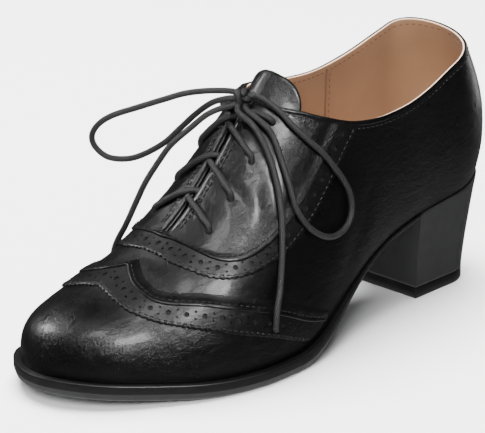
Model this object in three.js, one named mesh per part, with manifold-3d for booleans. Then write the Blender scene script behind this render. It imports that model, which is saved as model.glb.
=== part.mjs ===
// A woman's left oxford shoe with a block heel, in millimetres.
// +Z is up, -X points to the toe and -Y to the outer side of the foot. The origin is on the floor, at the
// middle of the heel's resting face.
import * as THREE from "three";
import { mergeVertices } from "three/addons/utils/BufferGeometryUtils.js";
import Module from "manifold-3d";

const wasm = await Module();
wasm.setup();

// Driving dimensions of the last
const LENGTH = 243; // toe tip to the back of the counter
const BALL_WIDTH = 80;
const INSTEP_HEIGHT = 104; // floor to the top of the throat
const SEAT_RISE = 42; // how far the back of the seat lies above the ball
const TOE_SPRING = 5;
const HEEL_TO_BACK = 38; // middle of the heel's resting face to the back of the counter

// Upper
const WALL = 1.6;
const GAP = 0.3; // between pieces that touch
const BAND_THICKNESS = 0.8;
const STAY_THICKNESS = 1.2;
const FACET_SAG = 0.15; // what flat facets can take of a gap between curved pieces
const THROAT_GAP = 3;
const COLLAR_HEIGHT = 114; // floor to the top of the collar's back
const COLLAR_DIP = 96; // floor to the collar's lowest point, on the centre line
const COLLAR_SKEW = 0.2; // the inner side of the collar is higher by this share of its distance

// Tongue and insole
const TONGUE_THICKNESS = 1.8;
const TONGUE_GAP = 0.8; // to the inside of the upper, whose curve it follows
const INSOLE_THICKNESS = 2.4;
const INSOLE_GAP = 0.6; // to the inside of the upper
const INSOLE_START = 0.008; // the insole's blunt toe, as a share of LENGTH

// Outsole and heel
const SOLE_THICKNESS = 7;
const SHANK_THICKNESS = 2.6;
const SOLE_RIM = 3.2; // how far the sole stands out past the upper at the forefoot
const SOLE_BEVEL = 1.4;
const HEEL_WIDTH = 43;
const HEEL_LENGTH = 42;
const HEEL_CORNER = 17;
const HEEL_FLARE = 0.8; // how far the heel's top stands out past the seat
const TOP_PIECE = 5;

// Eyelets and lace
const EYELET_ROWS = 4;
const EYELET_DIAMETER = 3.6;
const LACE_DIAMETER = 2.6;
const LACE_STEP = 2.4; // length of a lace's straight pieces, in diameters
const KNOT_SIZE = 9.2;

// Colours
const LEATHER = { color: 0x131314, roughness: 0.3, metalness: 0 };
const EDGE = { color: 0x1c1c1d, roughness: 0.6, metalness: 0 };
const LINING = { color: 0xc49a7a, roughness: 0.7, metalness: 0 };
const CORD = { color: 0x1d1d1e, roughness: 0.75, metalness: 0 };

// Sections of the last, from the toe tip to the widest part of the counter. "at" is a share of LENGTH;
// half, sway and lean are shares of BALL_WIDTH: the sole's half width, its sideways shift and the ridge's.
// ridge is a share of INSTEP_HEIGHT; belly, shoulder and crown shape the side between sole and ridge.
const SECTIONS = [
  { at: 0.0, half: 0.0, sway: 0.26, lean: 0.26, ridge: 0.115, belly: 0.0, shoulder: 0.6, crown: 0.7 },
  { at: 0.02, half: 0.19, sway: 0.256, lean: 0.256, ridge: 0.26, belly: 0.015, shoulder: 0.62, crown: 0.72 },
  { at: 0.06, half: 0.32, sway: 0.24, lean: 0.24, ridge: 0.325, belly: 0.025, shoulder: 0.62, crown: 0.68 },
  { at: 0.12, half: 0.41, sway: 0.195, lean: 0.22, ridge: 0.38, belly: 0.03, shoulder: 0.6, crown: 0.64 },
  { at: 0.2, half: 0.48, sway: 0.12, lean: 0.14, ridge: 0.475, belly: 0.03, shoulder: 0.56, crown: 0.66 },
  { at: 0.28, half: 0.495, sway: 0.06, lean: 0.1, ridge: 0.6, belly: 0.03, shoulder: 0.52, crown: 0.66 },
  { at: 0.36, half: 0.47, sway: 0.02, lean: 0.095, ridge: 0.78, belly: 0.04, shoulder: 0.46, crown: 0.64 },
  { at: 0.44, half: 0.42, sway: -0.01, lean: 0.09, ridge: 1.0, belly: 0.06, shoulder: 0.4, crown: 0.62 },
  { at: 0.52, half: 0.36, sway: -0.02, lean: 0.06, ridge: 1.2, belly: 0.085, shoulder: 0.36, crown: 0.6 },
  { at: 0.61, half: 0.31, sway: -0.02, lean: 0.03, ridge: 1.4, belly: 0.1, shoulder: 0.36, crown: 0.66 },
  { at: 0.7, half: 0.285, sway: -0.012, lean: 0.01, ridge: 1.55, belly: 0.1, shoulder: 0.36, crown: 0.68 },
  { at: 0.79, half: 0.285, sway: 0.0, lean: 0.0, ridge: 1.62, belly: 0.09, shoulder: 0.36, crown: 0.62 },
  { at: 0.86, half: 0.285, sway: 0.0, lean: 0.0, ridge: 1.65, belly: 0.08, shoulder: 0.36, crown: 0.54 },
];
const FAN_AT = SECTIONS.at(-1).at;

// The feather line in the side view, over the whole length: the toe's lift and the climb to the seat.
const BOTTOM = [
  { at: 0.0, spring: 1.0, climb: 0.0 },
  { at: 0.08, spring: 0.6, climb: 0.0 },
  { at: 0.18, spring: 0.16, climb: 0.0 },
  { at: 0.26, spring: 0.0, climb: 0.0 },
  { at: 0.38, spring: 0.0, climb: 0.0 },
  { at: 0.46, spring: 0.0, climb: 0.12 },
  { at: 0.54, spring: 0.0, climb: 0.36 },
  { at: 0.62, spring: 0.0, climb: 0.59 },
  { at: 0.69, spring: 0.0, climb: 0.72 },
  { at: 0.76, spring: 0.0, climb: 0.8 },
  { at: 0.86, spring: 0.0, climb: 0.87 },
  { at: 1.0, spring: 0.0, climb: 1.0 },
];

// How deep the counter's back is at each level, as a share of the distance from the fan's axis to the back.
const COUNTER = [
  { up: 0.0, deep: 0.86 },
  { up: 0.05, deep: 0.95 },
  { up: 0.1, deep: 1.0 },
  { up: 0.15, deep: 0.995 },
  { up: 0.2, deep: 0.96 },
  { up: 0.25, deep: 0.88 },
  { up: 0.3, deep: 0.77 },
  { up: 0.35, deep: 0.64 },
  { up: 0.4, deep: 0.5 },
  { up: 0.45, deep: 0.39 },
  { up: 1.0, deep: 0.3 },
];

// The collar in the side view: front leads from the dip up to the throat and back to the counter's top.
const COLLAR = [
  { at: 0.38, front: 1.0, back: 0.0 },
  { at: 0.45, front: 1.0, back: 0.0 },
  { at: 0.48, front: 0.93, back: 0.0 },
  { at: 0.52, front: 0.62, back: 0.0 },
  { at: 0.57, front: 0.22, back: 0.0 },
  { at: 0.63, front: 0.02, back: 0.0 },
  { at: 0.7, front: 0.0, back: 0.04 },
  { at: 0.77, front: 0.0, back: 0.22 },
  { at: 0.84, front: 0.0, back: 0.54 },
  { at: 0.91, front: 0.0, back: 0.86 },
  { at: 1.02, front: 0.0, back: 1.04 },
];

// How the outsole changes along its length: full leads from the shank's thickness to the forefoot's, and rim
// is the share of SOLE_RIM by which it stands out past the upper.
const SOLE = [
  { at: 0.0, full: 1.0, rim: 1.0 },
  { at: 0.4, full: 1.0, rim: 1.0 },
  { at: 0.48, full: 0.7, rim: 0.8 },
  { at: 0.56, full: 0.3, rim: 0.45 },
  { at: 0.66, full: 0.0, rim: 0.25 },
  { at: 1.0, full: 0.0, rim: 0.25 },
];

// Overlays on the upper, from the centre line down one side. "At" is a share of the way from toe to back and
// "Down" of the way from the ridge to the sole; outer is the pinked edge and inner the folded edge beside it.
const WING_BAND = [
  { outerAt: 0.13, outerDown: 0.0, innerAt: 0.184, innerDown: 0.0 },
  { outerAt: 0.125, outerDown: 0.09, innerAt: 0.17, innerDown: 0.08 },
  { outerAt: 0.121, outerDown: 0.21, innerAt: 0.16, innerDown: 0.17 },
  { outerAt: 0.123, outerDown: 0.35, innerAt: 0.158, innerDown: 0.28 },
  { outerAt: 0.145, outerDown: 0.51, innerAt: 0.169, innerDown: 0.39 },
  { outerAt: 0.188, outerDown: 0.64, innerAt: 0.21, innerDown: 0.51 },
  { outerAt: 0.258, outerDown: 0.78, innerAt: 0.268, innerDown: 0.65 },
  { outerAt: 0.338, outerDown: 0.89, innerAt: 0.345, innerDown: 0.79 },
  { outerAt: 0.41, outerDown: 0.97, innerAt: 0.455, innerDown: 0.95 },
];
const THROAT_BAND = [
  { outerAt: 0.217, outerDown: 0.0, innerAt: 0.246, innerDown: 0.0 },
  { outerAt: 0.217, outerDown: 0.15, innerAt: 0.248, innerDown: 0.13 },
  { outerAt: 0.233, outerDown: 0.34, innerAt: 0.256, innerDown: 0.26 },
  { outerAt: 0.26, outerDown: 0.46, innerAt: 0.27, innerDown: 0.36 },
  { outerAt: 0.297, outerDown: 0.535, innerAt: 0.295, innerDown: 0.44 },
  { outerAt: 0.335, outerDown: 0.575, innerAt: 0.326, innerDown: 0.485 },
  { outerAt: 0.38, outerDown: 0.6, innerAt: 0.37, innerDown: 0.512 },
  { outerAt: 0.43, outerDown: 0.607, innerAt: 0.42, innerDown: 0.518 },
  { outerAt: 0.478, outerDown: 0.597, innerAt: 0.463, innerDown: 0.51 },
  { outerAt: 0.528, outerDown: 0.575, innerAt: 0.508, innerDown: 0.49 },
  { outerAt: 0.585, outerDown: 0.55, innerAt: 0.56, innerDown: 0.465 },
];
const THROAT_FOOT = 0.252; // where the gap between the facings begins, as a share of LENGTH
// Where each row of the throat band has its partner on the gap between the facings
const STAY_EDGE = [0.2535, 0.2535, 0.262, 0.276, 0.298, 0.326, 0.366, 0.406, 0.44, 0.475, 0.51];

const STAY_CLEARANCE = 0.03; // the facing stands clear of the band beside it by this share of its width

const EYELET_FIRST = 0.285;
const EYELET_LAST = 0.441;
const EYELET_DOWN = 0.22;
const LACE_CLIMB = 0.03; // how far above its eyelets a pair of laces meets, as a share of LENGTH

// The tongue, from its foot to its top: half is the share of the way from the ridge to the sole. Above
// TONGUE_FREE it stands up straight.
const TONGUE_FREE = 0.465;
const TONGUE = [
  { at: 0.262, half: 0.16 },
  { at: 0.34, half: 0.26 },
  { at: 0.42, half: 0.33 },
  { at: 0.455, half: 0.34 },
  { at: 0.475, half: 0.33 },
  { at: 0.488, half: 0.24 },
];
const TONGUE_SINK = 2.4; // how much deeper than its middle the sides of the free top lie

// The bow: its knot, two loops and two ends, as points in millimetres that the lace's middle follows.
const KNOT = [-104.2, 3.5, 107.2];
const BOW = {
  lace_loop_outer: [
    [-100.2, -0.4, 107.8], [-98.5, -5, 106], [-96, -10.5, 101.8], [-93.8, -16, 96.2], [-90.2, -20.6, 90.8],
    [-85.8, -24.2, 85.3], [-81.5, -27, 78.6], [-77.5, -28.9, 72], [-74.6, -29.7, 66], [-74, -30.4, 60],
    [-76, -31.2, 55], [-80.2, -31.8, 52], [-85.9, -32.2, 50.9], [-91.6, -32.2, 52], [-97, -31.9, 55],
    [-100.9, -30.7, 58.7], [-103.5, -29, 63.1], [-104.8, -27, 67.5], [-104.5, -23.6, 75.3],
    [-103.6, -18.3, 84.4], [-102.6, -12.4, 93.6], [-103.8, -8.2, 98.2], [-105, 0.2, 102.6],
  ],
  lace_end_outer: [
    [-107.7, 2.3, 102.3], [-107.2, -4.6, 98.4], [-106.8, -8.8, 94.2], [-107.2, -15, 86.1],
    [-109, -21.2, 75.6], [-112, -26.3, 64.5], [-115.6, -30, 53.8], [-118.6, -32.3, 45.1],
    [-121.9, -34.6, 37.8], [-125.6, -36.5, 30.6], [-128, -38, 22],
  ],
  lace_loop_inner: [
    [-106.7, 7.5, 109.6], [-112, 15.5, 109.2], [-117.4, 23.4, 107.6], [-122.3, 30.7, 104.6],
    [-128.8, 40.7, 100.2], [-134.5, 49.2, 96.3], [-137.9, 54.3, 92], [-139.4, 56.6, 86.9],
    [-138.6, 55.4, 82], [-135.7, 51, 78], [-131.4, 44.6, 77.6], [-127.4, 38.5, 80], [-122.4, 31, 85.6],
    [-118.4, 24.9, 92.8], [-114.7, 19.4, 99.3], [-111.4, 13.6, 104.4], [-108, 7.3, 106.9],
  ],
  lace_end_inner: [
    [-108, 5.8, 104.1], [-111, 9.5, 102.6], [-115.3, 13.3, 100], [-120.5, 17.8, 94.4],
    [-126.3, 22.9, 87.6], [-130.2, 26.4, 80.4], [-134.4, 30, 71.6], [-138, 32.8, 62], [-141, 35.2, 53.6],
    [-142, 39.8, 45.2], [-141, 43.4, 38.4], [-139.6, 45.8, 31.5], [-138.1, 47.3, 24], [-137, 48, 18],
  ],
};

// A smooth function through a table's rows, by cubic Hermite pieces. "root" stretches the key, so that a
// half width can start as a round nose.
function smooth(rows, key, column, root = (value) => value) {
  const x = rows.map((row) => root(row[key]));
  const y = rows.map((row) => row[column]);
  const last = rows.length - 1;
  const steps = x.slice(1).map((value, i) => (y[i + 1] - y[i]) / (value - x[i]));
  const slope = x.map((_, i) => {
    if (i === 0) return steps[0];
    if (i === last) return steps[last - 1] / 2;
    if (steps[i - 1] * steps[i] <= 0) return 0;
    const before = x[i] - x[i - 1];
    const after = x[i + 1] - x[i];
    return (steps[i - 1] * after + steps[i] * before) / (before + after);
  });
  return (at) => {
    const t = Math.min(Math.max(root(Math.max(at, 0)), x[0]), x[last]);
    let i = 0;
    while (i < last - 1 && t > x[i + 1]) i += 1;
    const span = x[i + 1] - x[i];
    const f = (t - x[i]) / span;
    const f2 = f * f;
    const f3 = f2 * f;
    return (
      (2 * f3 - 3 * f2 + 1) * y[i] +
      (f3 - 2 * f2 + f) * span * slope[i] +
      (3 * f2 - 2 * f3) * y[i + 1] +
      (f3 - f2) * span * slope[i + 1]
    );
  };
}

const section = {};
for (const column of ["half", "sway", "lean", "ridge", "belly", "shoulder", "crown"])
  section[column] = smooth(SECTIONS, "at", column, Math.sqrt);
const spring = smooth(BOTTOM, "at", "spring");
const climb = smooth(BOTTOM, "at", "climb");
const deep = smooth(COUNTER, "up", "deep");
const full = smooth(SOLE, "at", "full");
const rim = smooth(SOLE, "at", "rim");
const front = smooth(COLLAR, "at", "front");
const back = smooth(COLLAR, "at", "back");

const toX = (at) => (at - 1) * LENGTH + HEEL_TO_BACK;
const toAt = (x) => (x - HEEL_TO_BACK) / LENGTH + 1;
const bottomZ = (at) => SOLE_THICKNESS + TOE_SPRING * spring(at) + SEAT_RISE * climb(at);

const bezier = (a, b, c, d, t) => {
  const r = 1 - t;
  return r * r * r * a + 3 * r * r * t * b + 3 * r * t * t * c + t * t * t * d;
};

// A point of the last. along runs from 0 at the toe tip to 1 at the centre back, up from 0 at the sole to
// 1 on the ridge, and sign is -1 on the outer side and 1 on the inner side.
function lastPoint(along, up, sign) {
  const at = Math.min(along, FAN_AT);
  const half = section.half(at) * BALL_WIDTH;
  const belly = section.belly(at) * BALL_WIDTH;
  const rise = section.ridge(at) * INSTEP_HEIGHT - bottomZ(at);
  const y = bezier(half, half + belly, section.crown(at) * half, 0, up);
  const z = at > 0 ? bezier(0, section.shoulder(at) * rise, rise, rise, up) : 0;
  const middle = THREE.MathUtils.lerp(section.sway(at), section.lean(at), up) * BALL_WIDTH;
  if (along <= FAN_AT) return new THREE.Vector3(toX(at), middle + sign * y, bottomZ(at) + z);
  const turn = ((along - FAN_AT) / (1 - FAN_AT)) * (Math.PI / 2);
  const x = toX(FAN_AT) + deep(up) * (1 - FAN_AT) * LENGTH * Math.sin(turn);
  return new THREE.Vector3(x, middle + sign * y * Math.cos(turn), bottomZ(toAt(x)) + z);
}

// The last's surface moved out by lift. girth runs from -1 at the outer sole over 0 on the ridge to 1 at the
// inner sole.
function skin(along, girth, lift) {
  const sign = girth < 0 ? -1 : 1;
  const up = 1 - Math.abs(girth);
  const point = lastPoint(along, up, sign);
  if (along === 0) return point.add(new THREE.Vector3(-lift, 0, 0));
  const step = 1e-3;
  const before = lastPoint(Math.max(along - step, 0), up, sign);
  const ahead = lastPoint(Math.min(along + step, 1), up, sign).sub(before);
  const below = lastPoint(along, Math.max(up - step, 0), sign);
  const over = lastPoint(along, Math.min(up + step, 1), sign).sub(below);
  const normal = over.cross(ahead).multiplyScalar(sign);
  if (girth === 0 || along === 1) normal.y = 0;
  return point.addScaledVector(normal.normalize(), lift);
}

// A closed mesh from points and triangles, as a solid.
function solid(points, triangles) {
  const geometry = new THREE.BufferGeometry().setFromPoints(points);
  geometry.setIndex(triangles);
  return weld(geometry);
}

function weld(geometry) {
  geometry.deleteAttribute("normal");
  geometry.deleteAttribute("uv");
  const merged = mergeVertices(geometry, 1e-5);
  const index = merged.index.array;
  const kept = [];
  for (let i = 0; i < index.length; i += 3)
    if (index[i] !== index[i + 1] && index[i + 1] !== index[i + 2] && index[i] !== index[i + 2])
      kept.push(index[i], index[i + 1], index[i + 2]);
  const vertProperties = new Float32Array(merged.attributes.position.array);
  const triVerts = new Uint32Array(kept);
  const shape = new wasm.Manifold(new wasm.Mesh({ numProp: 3, vertProperties, triVerts }));
  return shape.volume() < 0 ? solidInsideOut(vertProperties, kept) : shape;
}

function solidInsideOut(vertProperties, kept) {
  const triVerts = new Uint32Array(kept).reverse();
  return new wasm.Manifold(new wasm.Mesh({ numProp: 3, vertProperties, triVerts }));
}

// A thin solid between two faces of columns by rows points: place(u, v, face) gives the points, u and v
// running from 0 to 1, on face 0 and on face 1.
function sheet(columns, rows, place) {
  const points = [];
  const at = (face, i, j) => (face * (columns + 1) + i) * (rows + 1) + j;
  for (const face of [0, 1])
    for (let i = 0; i <= columns; i += 1)
      for (let j = 0; j <= rows; j += 1) points.push(place(i / columns, j / rows, face));
  const triangles = [];
  const quad = (a, b, c, d) => triangles.push(a, b, c, a, c, d);
  for (let i = 0; i < columns; i += 1)
    for (let j = 0; j < rows; j += 1) {
      quad(at(0, i, j), at(0, i, j + 1), at(0, i + 1, j + 1), at(0, i + 1, j));
      quad(at(1, i, j), at(1, i + 1, j), at(1, i + 1, j + 1), at(1, i, j + 1));
    }
  for (let i = 0; i < columns; i += 1) {
    quad(at(0, i, 0), at(0, i + 1, 0), at(1, i + 1, 0), at(1, i, 0));
    quad(at(0, i + 1, rows), at(0, i, rows), at(1, i, rows), at(1, i + 1, rows));
  }
  for (let j = 0; j < rows; j += 1) {
    quad(at(0, 0, j + 1), at(0, 0, j), at(1, 0, j), at(1, 0, j + 1));
    quad(at(0, columns, j), at(0, columns, j + 1), at(1, columns, j + 1), at(1, columns, j));
  }
  return solid(points, triangles);
}

// A solid from closed rings of equal length, bottom ring first, each going along one side and back along
// the other. The end rings are closed by strips from side to side.
function loft(rings) {
  const count = rings[0].length;
  const points = rings.flat();
  const triangles = [];
  for (let k = 0; k < rings.length - 1; k += 1)
    for (let i = 0; i < count; i += 1) {
      const next = (i + 1) % count;
      const a = k * count;
      const b = a + count;
      triangles.push(a + i, a + next, b + next, a + i, b + next, b + i);
    }
  const cap = (base, flip) => {
    for (let i = 0, j = count - 1; i + 1 < j; i += 1, j -= 1) {
      const strip = i + 1 === j - 1 ? [[i, j, i + 1]] : [[i, j, j - 1], [i, j - 1, i + 1]];
      for (const [a, b, c] of strip)
        triangles.push(base + a, base + (flip ? c : b), base + (flip ? b : c));
    }
  };
  cap(0, false);
  cap((rings.length - 1) * count, true);
  return solid(points, triangles);
}

// Shares of the way from toe to back, closer together where the toe and the counter curve.
const TOE_STEPS = 8;
const BODY_STEPS = 24;
const FAN_STEPS = 7;
const TOE_END = 0.1;
const STATIONS = [];
for (let i = 0; i < TOE_STEPS; i += 1) STATIONS.push(TOE_END * (i / TOE_STEPS) ** 2);
for (let i = 0; i < BODY_STEPS; i += 1)
  STATIONS.push(THREE.MathUtils.lerp(TOE_END, FAN_AT, i / BODY_STEPS));
for (let i = 0; i <= FAN_STEPS; i += 1)
  STATIONS.push(THREE.MathUtils.lerp(FAN_AT, 1, i / FAN_STEPS));
const SIDE_STEPS = 12;

// The whole last as a solid, its surface moved out by lift and its underside let down by drop.
function lastSolid(lift, drop) {
  const across = 2 * SIDE_STEPS;
  const points = [];
  for (const along of STATIONS) {
    for (let j = 0; j <= across; j += 1) points.push(skin(along, j / SIDE_STEPS - 1, lift));
    if (drop > 0)
      for (const end of [0, across]) {
        const foot = points[points.length - 1 - across + end - (end > 0 ? 1 : 0)].clone();
        foot.z -= drop;
        points.push(foot);
      }
  }
  const width = across + 1 + (drop > 0 ? 2 : 0);
  const order = [];
  for (let j = 0; j <= across; j += 1) order.push(j);
  if (drop > 0) order.push(across + 2, across + 1);
  const triangles = [];
  for (let i = 0; i < STATIONS.length - 1; i += 1)
    for (let k = 0; k < order.length; k += 1) {
      const j = order[k];
      const next = order[(k + 1) % order.length];
      const a = i * width;
      const b = a + width;
      triangles.push(a + j, b + j, b + next, a + j, b + next, a + next);
    }
  const lastRow = (STATIONS.length - 1) * width;
  for (const base of [0, lastRow]) {
    for (let i = 0, j = order.length - 1; i + 1 < j; i += 1, j -= 1) {
      const strip = i + 1 === j - 1 ? [[i, i + 1, j]] : [[i, i + 1, j - 1], [i, j - 1, j]];
      for (const [a, b, c] of strip) {
        const [p, q, r] = [order[a], order[b], order[c]];
        triangles.push(base + p, base + (base ? r : q), base + (base ? q : r));
      }
    }
  }
  return solid(points, triangles);
}

const group = new THREE.Group();

function part(name, shape, material) {
  const mesh = new THREE.Mesh(toGeometry(shape), new THREE.MeshStandardMaterial(material));
  mesh.name = name;
  group.add(mesh);
}

function toGeometry(shape) {
  const { vertProperties, triVerts } = shape.getMesh();
  const geometry = new THREE.BufferGeometry();
  geometry.setAttribute("position", new THREE.BufferAttribute(new Float32Array(vertProperties), 3));
  geometry.setIndex(new THREE.BufferAttribute(new Uint32Array(triVerts), 1));
  geometry.computeVertexNormals();
  return geometry;
}

// An upright prism on a plan outline, and one on a side view's outline that is sheared along Z by skew.
function column(outline, low, high) {
  const shape = new THREE.Shape(outline.map(([x, y]) => new THREE.Vector2(x, y)));
  const geometry = new THREE.ExtrudeGeometry(shape, { depth: high - low, bevelEnabled: false });
  return weld(geometry.translate(0, 0, low));
}

function slab(outline, width, skew) {
  const shape = new THREE.Shape(outline.map(([x, z]) => new THREE.Vector2(x, z)));
  const geometry = new THREE.ExtrudeGeometry(shape, { depth: width, bevelEnabled: false });
  geometry.rotateX(Math.PI / 2).translate(0, width / 2, 0);
  const shear = new THREE.Matrix4().set(1, 0, 0, 0, 0, 1, 0, 0, 0, skew, 1, 0, 0, 0, 0, 1);
  return weld(geometry.applyMatrix4(shear));
}

// What lies above the collar, let down by margin.
const COLLAR_STEPS = 24;
function aboveCollar(margin) {
  const line = [];
  const first = COLLAR[0].at;
  const last = COLLAR.at(-1).at;
  for (let i = 0; i <= COLLAR_STEPS; i += 1) {
    const at = THREE.MathUtils.lerp(first, last, i / COLLAR_STEPS);
    const climb = front(at) * (INSTEP_HEIGHT - COLLAR_DIP) + back(at) * (COLLAR_HEIGHT - COLLAR_DIP);
    line.push([toX(at), COLLAR_DIP + climb - margin]);
  }
  const top = 2 * INSTEP_HEIGHT;
  return slab([...line, [line.at(-1)[0], top], [line[0][0], top]], 2 * BALL_WIDTH, COLLAR_SKEW);
}

// The gap between the two facings, open at the top.
const GAP_STEPS = 8;
function throatGap() {
  const edge = (side) => {
    const points = [];
    for (let i = 0; i <= GAP_STEPS; i += 1) {
      const at = THREE.MathUtils.lerp(THROAT_FOOT, COLLAR[4].at, i / GAP_STEPS);
      points.push([toX(at), section.lean(at) * BALL_WIDTH + (side * THROAT_GAP) / 2]);
    }
    return points;
  };
  return column([...edge(-1), ...edge(1).reverse()], INSTEP_HEIGHT / 3, 2 * INSTEP_HEIGHT);
}

function eyelets() {
  const length = 6 * (WALL + STAY_THICKNESS);
  const holes = [];
  for (let i = 0; i < EYELET_ROWS; i += 1)
    for (const side of [-1, 1]) {
      const at = eyeletAt(i);
      const centre = skin(at, side * EYELET_DOWN, 0);
      const normal = skin(at, side * EYELET_DOWN, 1).sub(centre);
      const geometry = new THREE.CylinderGeometry(EYELET_DIAMETER / 2, EYELET_DIAMETER / 2, length, 10);
      const turn = new THREE.Quaternion().setFromUnitVectors(new THREE.Vector3(0, 1, 0), normal);
      holes.push(weld(geometry.applyQuaternion(turn).translate(...centre.toArray())));
    }
  return holes;
}

function eyeletAt(row) {
  return THREE.MathUtils.lerp(EYELET_FIRST, EYELET_LAST, row / (EYELET_ROWS - 1));
}

// An overlay on the upper, from one side over the centre line to the other.
const OVERLAY_STEPS = 20;
function overlay(rows, across, low, high) {
  const numbered = rows.map((row, i) => ({ ...row, i }));
  const columns = ["outerAt", "outerDown", "innerAt", "innerDown"];
  const [outerAt, outerDown, innerAt, innerDown] = columns.map((name) => smooth(numbered, "i", name));
  return sheet(2 * OVERLAY_STEPS, across, (u, v, face) => {
    const t = Math.abs(2 * u - 1) * (rows.length - 1);
    const side = u < 0.5 ? -1 : 1;
    const along = THREE.MathUtils.lerp(outerAt(t), innerAt(t), v);
    const down = THREE.MathUtils.lerp(outerDown(t), innerDown(t), v);
    return skin(along, side * down, face ? high : low);
  });
}

// Share of the way down from the ridge at which a line lies the given distance from the centre line.
const downShare = (at, distance) => distance / (3 * section.crown(at) * section.half(at) * BALL_WIDTH);

function wingBand() {
  return overlay(WING_BAND, 2, GAP + FACET_SAG, GAP + BAND_THICKNESS);
}

function throatBand() {
  return overlay(THROAT_BAND, 2, GAP + FACET_SAG, GAP + BAND_THICKNESS).subtract(aboveCollar(BAND_THICKNESS));
}

function laceStay() {
  const rows = THROAT_BAND.map((row, i) => {
    const edge = STAY_EDGE[i];
    const beside = i === 0 ? 0 : downShare(edge, THROAT_GAP / 2);
    const clear = STAY_CLEARANCE;
    return {
      outerAt: THREE.MathUtils.lerp(row.innerAt, edge, clear),
      outerDown: THREE.MathUtils.lerp(row.innerDown, beside, clear),
      innerAt: edge,
      innerDown: beside,
    };
  });
  let stay = overlay(rows, 5, GAP + 2 * FACET_SAG, GAP + STAY_THICKNESS);
  stay = stay.subtract(aboveCollar(BAND_THICKNESS)).subtract(throatGap());
  for (const hole of eyelets()) stay = stay.subtract(hole);
  return stay;
}

function upper() {
  let shell = lastSolid(0, 0).subtract(lastSolid(-WALL, SOLE_THICKNESS));
  shell = shell.subtract(aboveCollar(0)).subtract(throatGap());
  for (const hole of eyelets()) shell = shell.subtract(hole);
  return shell;
}

function tongue() {
  const half = smooth(TONGUE, "at", "half");
  const first = TONGUE[0].at;
  const last = TONGUE.at(-1).at;
  const high = WALL + TONGUE_GAP;
  const slope = skin(TONGUE_FREE, 0, 0).sub(skin(TONGUE_FREE - 0.01, 0, 0));
  return sheet(14, 10, (u, v, face) => {
    const at = THREE.MathUtils.lerp(first, last, u);
    const held = Math.min(at, TONGUE_FREE);
    const across = 2 * v - 1;
    const sink = (TONGUE_SINK * across * across * (at - held)) / (last - TONGUE_FREE);
    const point = skin(held, across * half(at), -high - sink - (face ? 0 : TONGUE_THICKNESS));
    return point.addScaledVector(slope, (at - held) / 0.01);
  });
}

// The feather line's outline moved out sideways by a margin that may change along it, as points (x, y)
// along one side up to a last share of the way back.
function sideOutline(side, stations, margin) {
  return stations.map((along) => {
    const here = lastPoint(along, 0, side);
    const step = 1e-3;
    const ahead = lastPoint(Math.min(along + step, 1), 0, side);
    const before = lastPoint(Math.max(along - step, 0), 0, side);
    const tangent = ahead.sub(before);
    const out = new THREE.Vector2(-tangent.y, tangent.x).normalize().multiplyScalar(side);
    if (along === 0) out.set(-1, 0);
    if (along === 1) out.set(1, 0);
    const far = typeof margin === "function" ? margin(along) : margin;
    return [here.x + out.x * far, here.y + out.y * far];
  });
}

function insole() {
  const stations = STATIONS.filter((along) => along >= INSOLE_START);
  const margin = -(WALL + INSOLE_GAP);
  const outline = [-1, 1].map((side) => sideOutline(side, stations, margin));
  const ring = (lift) => {
    const point = ([x, y]) => new THREE.Vector3(x, y, bottomZ(toAt(x)) + lift);
    const inner = outline[1].slice(0, -1).reverse();
    return [...outline[0].map(point), ...inner.map(point)];
  };
  return loft([ring(GAP), ring(GAP + INSOLE_THICKNESS)]);
}

const BREAST = -HEEL_LENGTH / 2;

function outsole() {
  const end = toAt(BREAST - GAP);
  const stations = STATIONS.filter((along) => along < end);
  stations.push(end);
  const margin = (along) => rim(along) * SOLE_RIM;
  const depth = (at) => THREE.MathUtils.lerp(SHANK_THICKNESS, SOLE_THICKNESS, full(at));
  const ring = (inset, lift) => {
    const sides = [-1, 1].map((side) => {
      const points = sideOutline(side, stations, (along) => margin(along) - inset);
      points.at(-1)[0] = BREAST - GAP;
      return points.map(([x, y]) => new THREE.Vector3(x, y, lift(toAt(x))));
    });
    return [...sides[0].reverse(), ...sides[1].slice(1)];
  };
  const bottom = (at) => bottomZ(at) - depth(at);
  const bevel = (at) => Math.min(SOLE_BEVEL, SHANK_THICKNESS / 3) + bottom(at);
  return loft([
    ring(SOLE_BEVEL, bottom),
    ring(0, (at) => bevel(at)),
    ring(0, (at) => bottomZ(at) - GAP),
  ]);
}

// Points spread evenly over an outline given as (x, y) points.
function spread(outline, count) {
  const lengths = [0];
  for (let i = 1; i < outline.length; i += 1) {
    const [dx, dy] = [outline[i][0] - outline[i - 1][0], outline[i][1] - outline[i - 1][1]];
    lengths.push(lengths[i - 1] + Math.hypot(dx, dy));
  }
  const points = [];
  for (let k = 0; k <= count; k += 1) {
    const target = (lengths.at(-1) * k) / count;
    let i = 1;
    while (i < lengths.length - 1 && lengths[i] < target) i += 1;
    const f = (target - lengths[i - 1]) / (lengths[i] - lengths[i - 1]);
    points.push([0, 1].map((axis) => THREE.MathUtils.lerp(outline[i - 1][axis], outline[i][axis], f)));
  }
  return points;
}

// The heel's D-shaped foot on one side, from the breast to the centre back.
const HEEL_STEPS = 14;
function heelFoot(side) {
  const half = HEEL_WIDTH / 2;
  const points = [[BREAST, half]];
  for (let i = 0; i <= HEEL_STEPS; i += 1) {
    const turn = (Math.PI / 2) * (i / HEEL_STEPS);
    points.push([
      HEEL_LENGTH / 2 - HEEL_CORNER + HEEL_CORNER * Math.sin(turn),
      half - HEEL_CORNER + HEEL_CORNER * Math.cos(turn),
    ]);
  }
  points.push([HEEL_LENGTH / 2, 0]);
  return spread(points, HEEL_STEPS).map(([x, y]) => [x, side * y]);
}

function heelSeat(side) {
  const start = toAt(BREAST);
  const stations = STATIONS.filter((along) => along > start);
  const points = sideOutline(side, [start, ...stations], HEEL_FLARE);
  points[0][0] = BREAST;
  return spread(points, HEEL_STEPS);
}

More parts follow.
